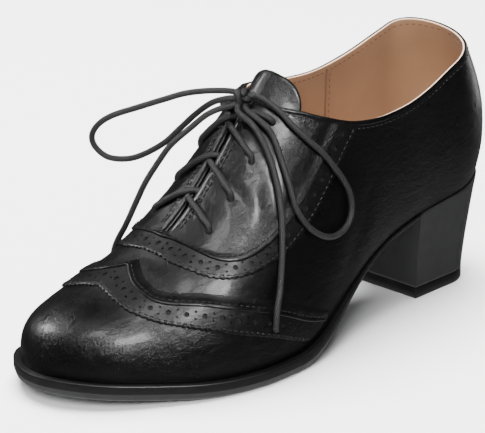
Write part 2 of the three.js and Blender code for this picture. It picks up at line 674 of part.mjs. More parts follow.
function heelRing(outline, height) {
  const sides = [-1, 1].map((side) => outline(side).map(([x, y]) => new THREE.Vector3(x, y, height(x))));
  return [...sides[0], ...sides[1].slice(0, -1).reverse()];
}

const HEEL_LEVELS = 6;
const HEEL_SWEEP = 1.25; // above 1 the heel's back hollows and flares late
function heelBlock() {
  const rings = [];
  for (let k = 0; k <= HEEL_LEVELS; k += 1) {
    const share = k / HEEL_LEVELS;
    const foot = heelRing(heelFoot, () => TOP_PIECE + GAP);
    const seat = heelRing(heelSeat, (x) => bottomZ(toAt(x)) - GAP);
    rings.push(
      foot.map((point, i) => {
        const mixed = point.clone().lerp(seat[i], share ** HEEL_SWEEP);
        mixed.z = THREE.MathUtils.lerp(point.z, seat[i].z, share);
        return mixed;
      }),
    );
  }
  return loft(rings);
}

function heelTopPiece() {
  return loft([heelRing(heelFoot, () => 0), heelRing(heelFoot, () => TOP_PIECE)]);
}

// A piece of lace whose middle follows points.
const LACE_SIDES = 8;
function lace(points) {
  const radius = LACE_DIAMETER / 2;
  const curve = new THREE.CatmullRomCurve3(points);
  const rim = [];
  for (let i = 0; i < LACE_SIDES; i += 1) {
    const turn = (2 * Math.PI * i) / LACE_SIDES;
    rim.push(new THREE.Vector2(radius * Math.cos(turn), radius * Math.sin(turn)));
  }
  const steps = Math.ceil(curve.getLength() / (LACE_STEP * LACE_DIAMETER));
  const path = { steps, bevelEnabled: false, extrudePath: curve };
  return weld(new THREE.ExtrudeGeometry(new THREE.Shape(rim), path));
}

// The two laces that come out of a pair of eyelets and meet over the gap between the facings.
function laceCrossing(row) {
  const at = eyeletAt(row);
  const lift = 2 * GAP + STAY_THICKNESS + LACE_DIAMETER / 2;
  const strands = [-1, 1].map((side) =>
    lace([
      skin(at, side * EYELET_DOWN, lift),
      skin(at + LACE_CLIMB / 2, (side * EYELET_DOWN) / 2, lift + GAP / 2),
      skin(at + LACE_CLIMB, 0, lift),
    ]),
  );
  return strands[0].add(strands[1]);
}

function laceKnot() {
  const middle = new THREE.Vector3(...KNOT);
  const at = eyeletAt(EYELET_ROWS - 1);
  const lift = 2 * GAP + STAY_THICKNESS + LACE_DIAMETER / 2;
  let knot = weld(new THREE.SphereGeometry(KNOT_SIZE / 2, 12, 8).translate(...KNOT));
  for (const side of [-1, 1]) {
    const mouth = skin(at, side * EYELET_DOWN, lift);
    const rise = middle.clone().lerp(mouth, 0.5).addScaledVector(skin(at, 0, 1).sub(skin(at, 0, 0)), 1);
    knot = knot.add(lace([middle.clone().lerp(mouth, 0.2), rise, mouth]));
  }
  return knot;
}

part("upper", upper(), LEATHER);
part("wing_band", wingBand(), LEATHER);
part("throat_band", throatBand(), LEATHER);
part("lace_stay", laceStay(), LEATHER);
part("tongue", tongue(), LEATHER);
part("insole", insole(), LINING);
part("outsole", outsole(), EDGE);
part("heel_block", heelBlock(), EDGE);
part("heel_top_piece", heelTopPiece(), EDGE);
for (let row = 0; row < EYELET_ROWS - 1; row += 1) part(`lace_crossing_${row + 1}`, laceCrossing(row), CORD);
part("lace_knot", laceKnot(), CORD);
for (const [name, points] of Object.entries(BOW))
  part(name, lace(points.map((point) => new THREE.Vector3(...point))), CORD);


export default group;
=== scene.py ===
"""Looks for a woman's left oxford shoe with a block heel.

The shape functions work in millimetres on numpy arrays; meshes are made in metres. +Z is up, -X points to
the toe and -Y to the outer side of the foot.
"""

from contextlib import contextmanager
import math

import bmesh
import bpy
import numpy as np
from mathutils import Matrix, Vector
from mathutils.geometry import delaunay_2d_cdt
from mathutils.kdtree import KDTree


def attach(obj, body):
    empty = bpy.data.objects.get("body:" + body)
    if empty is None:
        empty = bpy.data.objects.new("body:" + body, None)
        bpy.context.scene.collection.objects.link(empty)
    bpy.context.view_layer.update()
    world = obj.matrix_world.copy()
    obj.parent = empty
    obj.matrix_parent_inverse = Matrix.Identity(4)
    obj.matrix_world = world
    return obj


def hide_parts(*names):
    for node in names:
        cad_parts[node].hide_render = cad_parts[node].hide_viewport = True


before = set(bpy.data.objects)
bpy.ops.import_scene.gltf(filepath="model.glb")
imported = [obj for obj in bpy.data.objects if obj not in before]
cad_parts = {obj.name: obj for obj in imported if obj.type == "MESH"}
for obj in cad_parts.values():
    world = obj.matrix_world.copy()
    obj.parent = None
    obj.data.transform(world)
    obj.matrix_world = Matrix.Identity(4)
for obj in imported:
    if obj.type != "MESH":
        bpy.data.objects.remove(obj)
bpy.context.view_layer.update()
MM = 0.001
SIDES = ((-1, "outer"), (1, "inner"))

# The last, with the same numbers as the CAD source.
LENGTH = 243.0
BALL_WIDTH = 80.0
INSTEP_HEIGHT = 104.0
SEAT_RISE = 42.0
TOE_SPRING = 5.0
HEEL_TO_BACK = 38.0
WALL = 1.6
GAP = 0.3
THROAT_GAP = 3.0
COLLAR_HEIGHT = 114.0
COLLAR_DIP = 96.0
COLLAR_SKEW = 0.2
SOLE_THICKNESS = 7.0
SHANK_THICKNESS = 2.6
SOLE_RIM = 3.2
HEEL_WIDTH = 43.0
HEEL_LENGTH = 42.0
HEEL_CORNER = 17.0
HEEL_FLARE = 0.8
HEEL_SWEEP = 1.25
TOP_PIECE = 5.0
LACE = 2.6

SECTIONS = dict(
    at=[0.0, 0.02, 0.06, 0.12, 0.2, 0.28, 0.36, 0.44, 0.52, 0.61, 0.7, 0.79, 0.86],
    half=[0.0, 0.19, 0.32, 0.41, 0.48, 0.495, 0.47, 0.42, 0.36, 0.31, 0.285, 0.285, 0.285],
    sway=[0.26, 0.256, 0.24, 0.195, 0.12, 0.06, 0.02, -0.01, -0.02, -0.02, -0.012, 0.0, 0.0],
    lean=[0.26, 0.256, 0.24, 0.22, 0.14, 0.1, 0.095, 0.09, 0.06, 0.03, 0.01, 0.0, 0.0],
    ridge=[0.115, 0.26, 0.325, 0.38, 0.475, 0.6, 0.78, 1.0, 1.2, 1.4, 1.55, 1.62, 1.65],
    belly=[0.0, 0.015, 0.025, 0.03, 0.03, 0.03, 0.04, 0.06, 0.085, 0.1, 0.1, 0.09, 0.08],
    shoulder=[0.6, 0.62, 0.62, 0.6, 0.56, 0.52, 0.46, 0.4, 0.36, 0.36, 0.36, 0.36, 0.36],
    crown=[0.7, 0.72, 0.68, 0.64, 0.66, 0.66, 0.64, 0.62, 0.6, 0.66, 0.68, 0.62, 0.54],
)
FAN_AT = SECTIONS["at"][-1]
BOTTOM = dict(
    at=[0.0, 0.08, 0.18, 0.26, 0.38, 0.46, 0.54, 0.62, 0.69, 0.76, 0.86, 1.0],
    spring=[1.0, 0.6, 0.16, 0.0, 0.0, 0.0, 0.0, 0.0, 0.0, 0.0, 0.0, 0.0],
    climb=[0.0, 0.0, 0.0, 0.0, 0.0, 0.12, 0.36, 0.59, 0.72, 0.8, 0.87, 1.0],
)
COUNTER = dict(
    up=[0.0, 0.05, 0.1, 0.15, 0.2, 0.25, 0.3, 0.35, 0.4, 0.45, 1.0],
    deep=[0.86, 0.95, 1.0, 0.995, 0.96, 0.88, 0.77, 0.64, 0.5, 0.39, 0.3],
)
COLLAR = dict(
    at=[0.38, 0.45, 0.48, 0.52, 0.57, 0.63, 0.7, 0.77, 0.84, 0.91, 1.02],
    front=[1.0, 1.0, 0.93, 0.62, 0.22, 0.02, 0.0, 0.0, 0.0, 0.0, 0.0],
    back=[0.0, 0.0, 0.0, 0.0, 0.0, 0.0, 0.04, 0.22, 0.54, 0.86, 1.04],
)
SOLE = dict(
    at=[0.0, 0.4, 0.48, 0.56, 0.66, 1.0],
    full=[1.0, 1.0, 0.7, 0.3, 0.0, 0.0],
    rim=[1.0, 1.0, 0.8, 0.45, 0.25, 0.25],
)
WING_BAND = dict(
    outer_at=[0.13, 0.125, 0.121, 0.123, 0.145, 0.188, 0.258, 0.338, 0.41],
    outer_down=[0.0, 0.09, 0.21, 0.35, 0.51, 0.64, 0.78, 0.89, 0.97],
    inner_at=[0.184, 0.17, 0.16, 0.158, 0.169, 0.21, 0.268, 0.345, 0.455],
    inner_down=[0.0, 0.08, 0.17, 0.28, 0.39, 0.51, 0.65, 0.79, 0.95],
)
THROAT_BAND = dict(
    outer_at=[0.217, 0.217, 0.233, 0.26, 0.297, 0.335, 0.38, 0.43, 0.478, 0.528, 0.585],
    outer_down=[0.0, 0.15, 0.34, 0.46, 0.535, 0.575, 0.6, 0.607, 0.597, 0.575, 0.55],
    inner_at=[0.246, 0.248, 0.256, 0.27, 0.295, 0.326, 0.37, 0.42, 0.463, 0.508, 0.56],
    inner_down=[0.0, 0.13, 0.26, 0.36, 0.44, 0.485, 0.512, 0.518, 0.51, 0.49, 0.465],
)
THROAT_FOOT = 0.252
STAY_EDGE = [0.2535, 0.2535, 0.262, 0.276, 0.298, 0.326, 0.366, 0.406, 0.44, 0.475, 0.51]
EYELET_ROWS = 4
EYELET_FIRST = 0.285
EYELET_LAST = 0.441
EYELET_DOWN = 0.22
TONGUE = dict(at=[0.262, 0.34, 0.42, 0.455, 0.475, 0.488], half=[0.16, 0.26, 0.33, 0.34, 0.33, 0.24])
TONGUE_FREE = 0.465


def smooth(table, key, column, root=lambda value: value):
    """The same cubic Hermite through a table's rows as in the CAD source, on arrays."""
    x = root(np.array(table[key], float))
    y = np.array(table[column], float)
    steps = np.diff(y) / np.diff(x)
    slope = np.zeros_like(x)
    slope[0] = steps[0]
    slope[-1] = steps[-1] / 2
    before, after = np.diff(x)[:-1], np.diff(x)[1:]
    middle = (steps[:-1] * after + steps[1:] * before) / (before + after)
    slope[1:-1] = np.where(steps[:-1] * steps[1:] <= 0, 0, middle)

    def value(at):
        t = np.clip(root(np.maximum(np.asarray(at, float), 0)), x[0], x[-1])
        i = np.clip(np.searchsorted(x, t, side="right") - 1, 0, len(x) - 2)
        span = x[i + 1] - x[i]
        f = (t - x[i]) / span
        return (
            (2 * f**3 - 3 * f**2 + 1) * y[i]
            + (f**3 - 2 * f**2 + f) * span * slope[i]
            + (3 * f**2 - 2 * f**3) * y[i + 1]
            + (f**3 - f**2) * span * slope[i + 1]
        )

    return value


section = {name: smooth(SECTIONS, "at", name, np.sqrt) for name in SECTIONS if name != "at"}
spring, climb = smooth(BOTTOM, "at", "spring"), smooth(BOTTOM, "at", "climb")
deep = smooth(COUNTER, "up", "deep")
full, rim = smooth(SOLE, "at", "full"), smooth(SOLE, "at", "rim")
front, back = smooth(COLLAR, "at", "front"), smooth(COLLAR, "at", "back")


def to_x(at):
    return (at - 1) * LENGTH + HEEL_TO_BACK


def to_at(x):
    return (x - HEEL_TO_BACK) / LENGTH + 1


def bottom_z(at):
    return SOLE_THICKNESS + TOE_SPRING * spring(at) + SEAT_RISE * climb(at)


def bezier(a, b, c, d, t):
    r = 1 - t
    return r**3 * a + 3 * r * r * t * b + 3 * r * t * t * c + t**3 * d


def last_point(along, up, sign):
    at = np.minimum(along, FAN_AT)
    half = section["half"](at) * BALL_WIDTH
    belly = section["belly"](at) * BALL_WIDTH
    rise = section["ridge"](at) * INSTEP_HEIGHT - bottom_z(at)
    y = bezier(half, half + belly, section["crown"](at) * half, 0, up)
    z = np.where(at > 0, bezier(0, section["shoulder"](at) * rise, rise, rise, up), 0)
    middle = ((1 - up) * section["sway"](at) + up * section["lean"](at)) * BALL_WIDTH
    turn = np.clip((along - FAN_AT) / (1 - FAN_AT), 0, 1) * (np.pi / 2)
    x = np.where(along <= FAN_AT, to_x(along), to_x(FAN_AT) + deep(up) * (1 - FAN_AT) * LENGTH * np.sin(turn))
    base = np.where(along <= FAN_AT, bottom_z(at), bottom_z(to_at(x)))
    return np.stack([x, middle + sign * y * np.cos(turn), base + z], -1)


def skin(along, girth, lift):
    """The last's surface moved out by lift; girth is -1 at the outer sole, 0 on top, 1 at the inner sole."""
    along, girth, lift = np.broadcast_arrays(np.asarray(along, float), girth, lift)
    sign = np.where(girth < 0, -1.0, 1.0)
    up = 1 - np.abs(girth)
    point = last_point(along, up, sign)
    step = 1e-3
    later, earlier = np.minimum(along + step, 1), np.maximum(along - step, 0)
    higher, lower = np.minimum(up + step, 1), np.maximum(up - step, 0)
    ahead = last_point(later, up, sign) - last_point(earlier, up, sign)
    over = last_point(along, higher, sign) - last_point(along, lower, sign)
    normal = np.cross(over, ahead) * sign[..., None]
    flat = (girth == 0) | (along == 1)
    normal[..., 1] = np.where(flat, 0, normal[..., 1])
    size = np.linalg.norm(normal, axis=-1, keepdims=True)
    normal = normal / np.maximum(size, 1e-12)
    normal = np.where((along == 0)[..., None], np.array([-1.0, 0, 0]), normal)
    return point + normal * lift[..., None]


def collar_z(point):
    at = to_at(point[..., 0])
    rise = front(at) * (INSTEP_HEIGHT - COLLAR_DIP) + back(at) * (COLLAR_HEIGHT - COLLAR_DIP)
    return COLLAR_DIP + rise + COLLAR_SKEW * point[..., 1]


def collar_girth(along, sign, margin=0.0):
    """The girth share at which the last passes through the collar's line, let down by margin."""
    low = np.zeros_like(along)
    high = np.full_like(along, 0.97)
    for _ in range(28):
        mid = (low + high) / 2
        point = skin(along, sign * np.maximum(mid, 1e-6), 0)
        above = point[..., 2] > collar_z(point) - margin
        low = np.where(above, mid, low)
        high = np.where(above, high, mid)
    return (low + high) / 2


def down_share(at, distance):
    return distance / (3 * section["crown"](at) * section["half"](at) * BALL_WIDTH)


# Mesh helpers.
def add_mesh(name, points, faces, material, node=None, slot=None):
    """A smooth shaded piece from points in millimetres, in the place of a CAD node where one is named."""
    mesh = bpy.data.meshes.new(name)
    mesh.from_pydata((np.asarray(points) * MM).tolist(), [], [list(map(int, f)) for f in faces])
    mesh.update()
    mesh.shade_smooth()
    obj = bpy.data.objects.new(name, mesh)
    bpy.context.scene.collection.objects.link(obj)
    mesh.materials.append(material)
    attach(obj, "root")
    if node:
        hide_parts(node)
    return obj


def grid_faces(rows, columns, base=0, wrap=False):
    """Quads of a rows by columns point grid; wrap joins the last column to the first."""
    i, j = np.meshgrid(np.arange(rows - 1), np.arange(columns if wrap else columns - 1), indexing="ij")
    nxt = (j + 1) % columns
    a = base + i * columns
    return np.stack([a + j, a + nxt, a + columns + nxt, a + columns + j], -1).reshape(-1, 4)


def grid_to_mesh(name, grids, material, keep=None, **names):
    """One piece from several point grids, each with a flag that turns its faces over."""
    points, faces, base = [], [], 0
    for grid, flip in grids:
        r, c = grid.shape[:2]
        f = grid_faces(r, c, base)
        if keep is not None:
            i, j = np.meshgrid(np.arange(r - 1), np.arange(c - 1), indexing="ij")
            f = f[keep(i, j).reshape(-1)]
        faces.append(f[:, ::-1] if flip else f)
        points.append(grid.reshape(-1, 3))
        base += r * c
    return add_mesh(name, np.concatenate(points), np.concatenate(faces), material, **names)


def rows_to_mesh(name, rows, material, **names):
    return grid_to_mesh(name, [(np.array(rows), False)], material, **names)


def ring_cap(base, count, up):
    """Faces that close a ring of points."""
    faces = []
    i, j = 0, count - 1
    while i + 1 < j:
        corners = (i, i + 1, j - 1, j) if i + 1 < j - 1 else (i, i + 1, j)
        face = tuple(base + k for k in corners)
        faces.append(face if up else face[::-1])
        i, j = i + 1, j - 1
    return faces


@contextmanager
def edited(obj):
    """The object's mesh as a bmesh, written back at the end."""
    bm = bmesh.new()
    bm.from_mesh(obj.data)
    yield bm
    bm.to_mesh(obj.data)
    bm.free()


def merge(obj, distance=0.001):
    """Joins points that coincide and turns all faces outwards."""
    with edited(obj) as bm:
        bmesh.ops.remove_doubles(bm, verts=bm.verts, dist=distance * MM)
        bmesh.ops.recalc_face_normals(bm, faces=bm.faces)
    return obj


def sharpen(obj, degrees):
    """Makes the edges sharp at which the surface turns by that much or more."""
    with edited(obj) as bm:
        for edge in bm.edges:
            if len(edge.link_faces) == 2:
                edge.smooth = edge.calc_face_angle() < math.radians(degrees)


def unit(vectors):
    return vectors / np.maximum(np.linalg.norm(vectors, axis=-1, keepdims=True), 1e-9)


def curve_tangents(points):
    ahead = np.roll(points, -1, 0) - np.roll(points, 1, 0)
    ahead[0] = points[1] - points[0]
    ahead[-1] = points[-1] - points[-2]
    return unit(ahead)


def run_length(points):
    """The distance along a line of points, at each of them."""
    return np.r_[0, np.cumsum(np.linalg.norm(np.diff(points, axis=0), axis=1))]


def values_at(places, lengths, points):
    return np.stack([np.interp(places, lengths, column) for column in points.T], 1)


def spread(points, count):
    """count + 1 points an even distance apart along a line of points."""
    lengths = run_length(points)
    return values_at(np.linspace(0, lengths[-1], count + 1), lengths, points)


def resample(points, spacing):
    """Points about that far apart along a line of points."""
    return spread(points, max(int(round(run_length(points)[-1] / spacing)), 2))


# Materials.
class Nodes:
    """Short names for building one material's node tree."""

    def __init__(self, name):
        self.material = bpy.data.materials.new(name)
        self.material.use_nodes = True
        self.tree = self.material.node_tree
        self.shader = self.tree.nodes["Principled BSDF"]

    def add(self, kind, **values):
        node = self.tree.nodes.new(kind)
        for key, value in values.items():
            setattr(node, key, value)
        return node

    def link(self, output, target):
        self.tree.links.new(output, target)

    def set(self, **values):
        for key, value in values.items():
            self.shader.inputs[key.replace("_", " ")].default_value = value

    def noise(self, scale, detail=4.0, roughness=0.55, source=None, distortion=0.0):
        node = self.add("ShaderNodeTexNoise")
        node.inputs["Scale"].default_value = scale
        node.inputs["Detail"].default_value = detail
        node.inputs["Roughness"].default_value = roughness
        node.inputs["Distortion"].default_value = distortion
        self.link(source or self.place(), node.inputs["Vector"])
        return node.outputs["Fac"]

    def place(self):
        if not hasattr(self, "_place"):
            self._place = self.add("ShaderNodeTexCoord").outputs["Object"]
        return self._place

    def span(self, value, low, high, to_low, to_high, smooth_step=False):
        node = self.add("ShaderNodeMapRange")
        if smooth_step:
            node.interpolation_type = "SMOOTHSTEP"
        for key, number in zip(("From Min", "From Max", "To Min", "To Max"), (low, high, to_low, to_high)):
            node.inputs[key].default_value = number
        self.link(value, node.inputs["Value"])
        return node.outputs["Result"]

    def math(self, operation, a, b=None):
        node = self.add("ShaderNodeMath", operation=operation)
        for socket, value in zip(node.inputs, (a, b)):
            if value is None:
                continue
            if isinstance(value, (int, float)):
                socket.default_value = value
            else:
                self.link(value, socket)
        return node.outputs[0]

    def mix(self, factor, dark, light):
        node = self.add("ShaderNodeMix", data_type="RGBA")
        self.link(factor, node.inputs[0])
        node.inputs[6].default_value = (*dark, 1)
        node.inputs[7].default_value = (*light, 1)
        return node.outputs[2]

    def bump(self, height, distance, strength=1.0, normal=None):
        node = self.add("ShaderNodeBump")
        node.inputs["Strength"].default_value = strength
        node.inputs["Distance"].default_value = distance
        self.link(height, node.inputs["Height"])
        if normal is not None:
            self.link(normal, node.inputs["Normal"])
        return node.outputs["Normal"]


def leather(name, dull=0.0):
    """Glossy coated leather: fine wrinkles that run together, tiny pores and broad soft waves."""
    n = Nodes(name)
    stretch = n.add("ShaderNodeMapping")
    stretch.inputs["Rotation"].default_value = (0.0, 0.7, 0.4)
    stretch.inputs["Scale"].default_value = (0.4, 1.0, 1.0)
    n.link(n.place(), stretch.inputs["Vector"])
    placed = stretch.outputs["Vector"]
    waves = n.noise(55, 3, 0.5, None, 0.6)
    wrinkles = n.add("ShaderNodeTexVoronoi", feature="DISTANCE_TO_EDGE")
    wrinkles.inputs["Scale"].default_value = 760
    warp = n.add("ShaderNodeTexNoise")
    warp.inputs["Scale"].default_value = 260
    warp.inputs["Detail"].default_value = 3
    n.link(placed, warp.inputs["Vector"])
    moved = n.add("ShaderNodeVectorMath", operation="MULTIPLY_ADD")
    n.link(warp.outputs["Color"], moved.inputs[0])
    moved.inputs[1].default_value = (0.005, 0.005, 0.005)
    n.link(placed, moved.inputs[2])
    n.link(moved.outputs[0], wrinkles.inputs["Vector"])
    creases = n.span(wrinkles.outputs["Distance"], 0.0, 0.14, 0.0, 1.0, True)
    where = n.span(n.noise(34, 3, 0.6), 0.38, 0.6, 0.1, 1.0, True)
    lines = n.noise(420, 6, 0.7, placed, 0.5)
    fine = n.noise(1500, 3, 0.6)
    broad = n.bump(waves, 0.0008, 0.5)
    normal = n.bump(lines, 0.00052, 0.6, broad)
    normal = n.bump(n.math("MULTIPLY", creases, where), 0.00005, 0.6, normal)
    normal = n.bump(fine, 0.00007, 0.5, normal)
    n.link(normal, n.shader.inputs["Normal"])
    n.link(broad, n.shader.inputs["Coat Normal"])
    shade = n.noise(90, 4, 0.6)
    n.link(n.mix(shade, (0.0007, 0.0007, 0.0008), (0.0018, 0.0017, 0.0018)), n.shader.inputs["Base Color"])
    n.link(n.span(n.noise(140, 5, 0.65), 0.3, 0.7, 0.26 + dull, 0.4 + dull), n.shader.inputs["Roughness"])
    n.set(Coat_Weight=0.2, Coat_Roughness=0.14 + dull, Coat_IOR=1.4, IOR=1.42)
    return n.material


def edge_rubber(name, dark, light, rough):
    """Satin moulded sole or covered heel with faint mould marks, dust and rubbed spots."""
    n = Nodes(name)
    n.link(n.mix(n.noise(70, 5, 0.6), dark, light), n.shader.inputs["Base Color"])
    n.link(n.span(n.noise(210, 4, 0.6), 0.3, 0.7, rough - 0.05, rough + 0.1), n.shader.inputs["Roughness"])
    normal = n.bump(n.noise(900, 3, 0.6), 0.00004, 0.5)
    normal = n.bump(n.noise(120, 3, 0.5), 0.00025, 0.4, normal)
    n.link(normal, n.shader.inputs["Normal"])
    n.set(IOR=1.46)
    return n.material


def lining_material(name, dark, light):
    """Soft synthetic pigskin lining: a fine pore pattern, slightly mottled, matte."""
    n = Nodes(name)
    mottled = n.noise(38, 5, 0.6)
    n.link(n.mix(mottled, dark, light), n.shader.inputs["Base Color"])
    pores = n.add("ShaderNodeTexVoronoi", feature="F1")
    pores.inputs["Scale"].default_value = 1300
    n.link(n.place(), pores.inputs["Vector"])
    dimples = n.span(pores.outputs["Distance"], 0.0, 0.35, 0.0, 1.0, True)
    normal = n.bump(n.noise(60, 3, 0.5), 0.0008, 0.35)
    normal = n.bump(dimples, 0.00005, 0.6, normal)
    n.link(normal, n.shader.inputs["Normal"])
    n.link(n.span(n.noise(300, 4, 0.6), 0.3, 0.7, 0.5, 0.68), n.shader.inputs["Roughness"])
    n.set(Sheen_Weight=0.15, Sheen_Roughness=0.5, IOR=1.4)
    return n.material


def lace_material(name):
    """Round waxed lace: a braid of fine yarns, drawn in the tube's own lengthwise and round coordinates."""
    n = Nodes(name)
    uv = n.add("ShaderNodeUVMap", uv_map="tube").outputs["UV"]
    split = n.add("ShaderNodeSeparateXYZ")
    n.link(uv, split.inputs[0])
    around, along = n.math("MULTIPLY", split.outputs[0], 8), split.outputs[1]
    turns = 2 * math.pi
    left = n.math("SINE", n.math("MULTIPLY", n.math("ADD", around, along), turns))
    right = n.math("SINE", n.math("MULTIPLY", n.math("SUBTRACT", around, along), turns))
    braid = n.math("MAXIMUM", left, right)
    normal = n.bump(braid, 0.00011, 0.8)
    normal = n.bump(n.noise(2600, 3, 0.6), 0.00004, 0.5, normal)
    n.link(normal, n.shader.inputs["Normal"])
    # The base colour is darker in the braid's grooves and lighter on the raised yarns: painted shade between
    # the yarns.
    shade = n.span(braid, -0.4, 1.0, 0.0, 1.0)
    n.link(n.mix(shade, (0.0035, 0.0035, 0.0037), (0.017, 0.0166, 0.017)), n.shader.inputs["Base Color"])
    n.link(n.span(n.noise(800, 3, 0.6), 0.3, 0.7, 0.45, 0.6), n.shader.inputs["Roughness"])
    n.set(IOR=1.45)
    return n.material


def thread_material(name, color, rough=0.5):
    n = Nodes(name)
    dark = tuple(0.6 * c for c in color)
    n.link(n.mix(n.noise(2500, 2, 0.5), dark, color), n.shader.inputs["Base Color"])
    n.link(n.bump(n.noise(4200, 2, 0.5), 0.00003, 0.6), n.shader.inputs["Normal"])
    n.set(Roughness=rough)
    return n.material


LEATHER = leather("black_coated_leather")
BAND_LEATHER = leather("black_band_leather", 0.08)
SOLE_EDGE = edge_rubber("black_sole", (0.003, 0.003, 0.0031), (0.007, 0.007, 0.0071), 0.36)
HEEL_COVER = edge_rubber("black_heel_cover", (0.01, 0.01, 0.0104), (0.017, 0.017, 0.0174), 0.42)
LINING = lining_material("beige_lining", (0.29, 0.165, 0.09), (0.41, 0.25, 0.145))
# The lining's rolled top edge in a much paler colour: a painted highlight where the roll catches the light.
LINING_EDGE_HIGHLIGHT = lining_material("lining_edge_painted_highlight", (0.66, 0.43, 0.3), (0.78, 0.55, 0.41))
CORD = lace_material("black_lace")
SEAM_SHADE = thread_material("lining_join", (0.2, 0.11, 0.065), 0.8)
# Matte near black: the panels' raw cut edges, and also the painted shade on the discs under the holes.
CUT_EDGE_AND_HOLE_SHADE = thread_material("raw_cut_edge_and_hole_shade", (0.004, 0.004, 0.004), 0.8)
THREAD = thread_material("black_thread", (0.008, 0.008, 0.0085), 0.4)
PALE_THREAD = thread_material("brown_thread", (0.2, 0.1, 0.05), 0.7)

# The creases, as lines of (along, girth) on the last.
CREASES = [
    dict(line=[(0.205, -0.66), (0.235, -0.5), (0.26, -0.45)], width=3.6, depth=0.2),
    dict(line=[(0.25, -0.84), (0.29, -0.68), (0.31, -0.62)], width=4.2, depth=0.22),
    dict(line=[(0.33, -0.88), (0.35, -0.76), (0.37, -0.68)], width=4.2, depth=0.35),
    dict(line=[(0.19, -0.42), (0.205, -0.22), (0.205, 0.1)], width=3.0, depth=0.25),
    dict(line=[(0.2, 0.3), (0.24, 0.52), (0.28, 0.64)], width=3.2, depth=0.3),
    dict(line=[(0.3, 0.86), (0.33, 0.72), (0.36, 0.66)], width=4.0, depth=0.35),
    dict(line=[(0.63, -0.5), (0.7, -0.58), (0.79, -0.56)], width=6.0, depth=0.45),
    dict(line=[(0.66, 0.5), (0.73, 0.58), (0.8, 0.56)], width=6.0, depth=0.45),
    dict(line=[(0.5, -0.94), (0.57, -0.84), (0.62, -0.72)], width=5.0, depth=0.4),
    dict(line=[(0.335, -0.36), (0.345, -0.28), (0.35, -0.12)], width=3.0, depth=0.55),
    dict(line=[(0.37, -0.44), (0.4, -0.34), (0.41, -0.14)], width=3.2, depth=0.55),
    dict(line=[(0.33, 0.36), (0.345, 0.28), (0.35, 0.12)], width=2.6, depth=0.35),
    dict(line=[(0.38, 0.44), (0.4, 0.34), (0.41, 0.14)], width=2.8, depth=0.35),
]
CREASE_STEPS = 24


def creased(along, girth):
    """How far the creases move the surface: soft troughs, each with a low swell beside it."""
    point = skin(along, girth, 0)
    moved = np.zeros(point.shape[:-1])
    ease = np.sin(np.pi * np.linspace(0.06, 0.94, CREASE_STEPS))
    for crease in CREASES:
        knots = np.array(crease["line"])
        t = np.linspace(0, len(knots) - 1, CREASE_STEPS)
        a, g = (np.interp(t, range(len(knots)), column) for column in knots.T)
        best = np.full(moved.shape, 1e9)
        weight = np.zeros(moved.shape)
        for p, e in zip(skin(a, g, 0), ease):
            d = np.linalg.norm(point - p, axis=-1)
            weight = np.where(d < best, e, weight)
            best = np.minimum(best, d)
        w = crease["width"]
        trough = -np.exp(-((best / w) ** 2)) + 0.5 * np.exp(-(((best - 2 * w) / w) ** 2))
        moved += crease["depth"] * weight * trough
    return moved


# Upper and lining. The stations along the last are closer together at the toe and at the heel.
STATIONS = np.r_[
    0.1 * (np.arange(26) / 26) ** 2,
    np.linspace(0.1, FAN_AT, 150, endpoint=False),
    np.linspace(FAN_AT, 1, 44),
]
OPEN_AT = int(np.searchsorted(STATIONS, THROAT_FOOT))
# The top edge is the gap's up to GAP_TO and the collar's from COLLAR_FROM on, whichever is lower.
COLLAR_FROM = 0.4
GAP_TO = 0.6


def top_girth(sign):
    """The girth share of the top edge at each station."""
    top = np.where(STATIONS < COLLAR_FROM, 0, collar_girth(STATIONS, sign))
    gap = down_share(np.minimum(STATIONS, GAP_TO), THROAT_GAP / 2)
    return np.where(STATIONS < THROAT_FOOT, 0.0, np.maximum(np.where(STATIONS < GAP_TO, gap, 0), top))


def up_way(along, girth):
    """The unit direction on the surface that leads up over the top edge."""
    sign = np.where(girth < 0, -1.0, 1.0)
    return unit(skin(along, girth, 0) - skin(along, girth + sign * 0.01, 0))


def edge_roll(along, girth, outer, radius, steps=5):
    """Rows that go round a top edge, from lift outer to outer - 2 * radius."""
    way = up_way(along, girth)
    rows = []
    for k in range(1, steps):
        turn = np.pi * k / steps
        lift = outer - radius + radius * math.cos(turn)
        rows.append(skin(along, girth, lift) + way * radius * math.sin(turn))
    return rows


SIDE_ROWS = 74
LEATHER_ROLL = 0.5
LINING_ROLL = 0.34
# The upper's lower edge is turned in under the foot, a little below the feather line.
TURNED_IN = 5.0
TURNED_DOWN = 0.28
CREASE_FADE_ROWS = 6


def upper_side(sign):
    """Rows of points on one side of the upper, from the edge turned in below to behind the top edge."""
    top = top_girth(sign)
    under = skin(STATIONS, sign, 0)
    inward = skin(STATIONS, sign, -TURNED_IN)
    rows = [
        np.stack([inward[:, 0], inward[:, 1], under[:, 2] - TURNED_DOWN], -1),
        skin(STATIONS, sign, -0.35) - [0, 0, TURNED_DOWN],
    ]
    for j in range(SIDE_ROWS + 1):
        girth = sign * (1 - (j / SIDE_ROWS) * (1 - top))
        girth = np.where(np.abs(girth) < 1e-9, 0.0, girth)
        rows.append(skin(STATIONS, girth, creased(STATIONS, girth) * min(1, j / CREASE_FADE_ROWS)))
    edge = sign * np.maximum(top, 1e-6)
    rows += edge_roll(STATIONS, edge, 0.0, LEATHER_ROLL)
    rows.append(skin(STATIONS, edge, -2 * LEATHER_ROLL))
    rows.append(skin(STATIONS, edge + sign * 0.04, -2 * LEATHER_ROLL))
    return np.array(rows)


FACE_ROWS = SIDE_ROWS + 2
upper = grid_to_mesh(
    "upper_leather",
    [(upper_side(-1), True), (upper_side(1), False)],
    LEATHER,
    keep=lambda i, j: (i < FACE_ROWS) | (j >= OPEN_AT),
    node="upper",
    slot="black_leather",
)
merge(upper, 0.02)

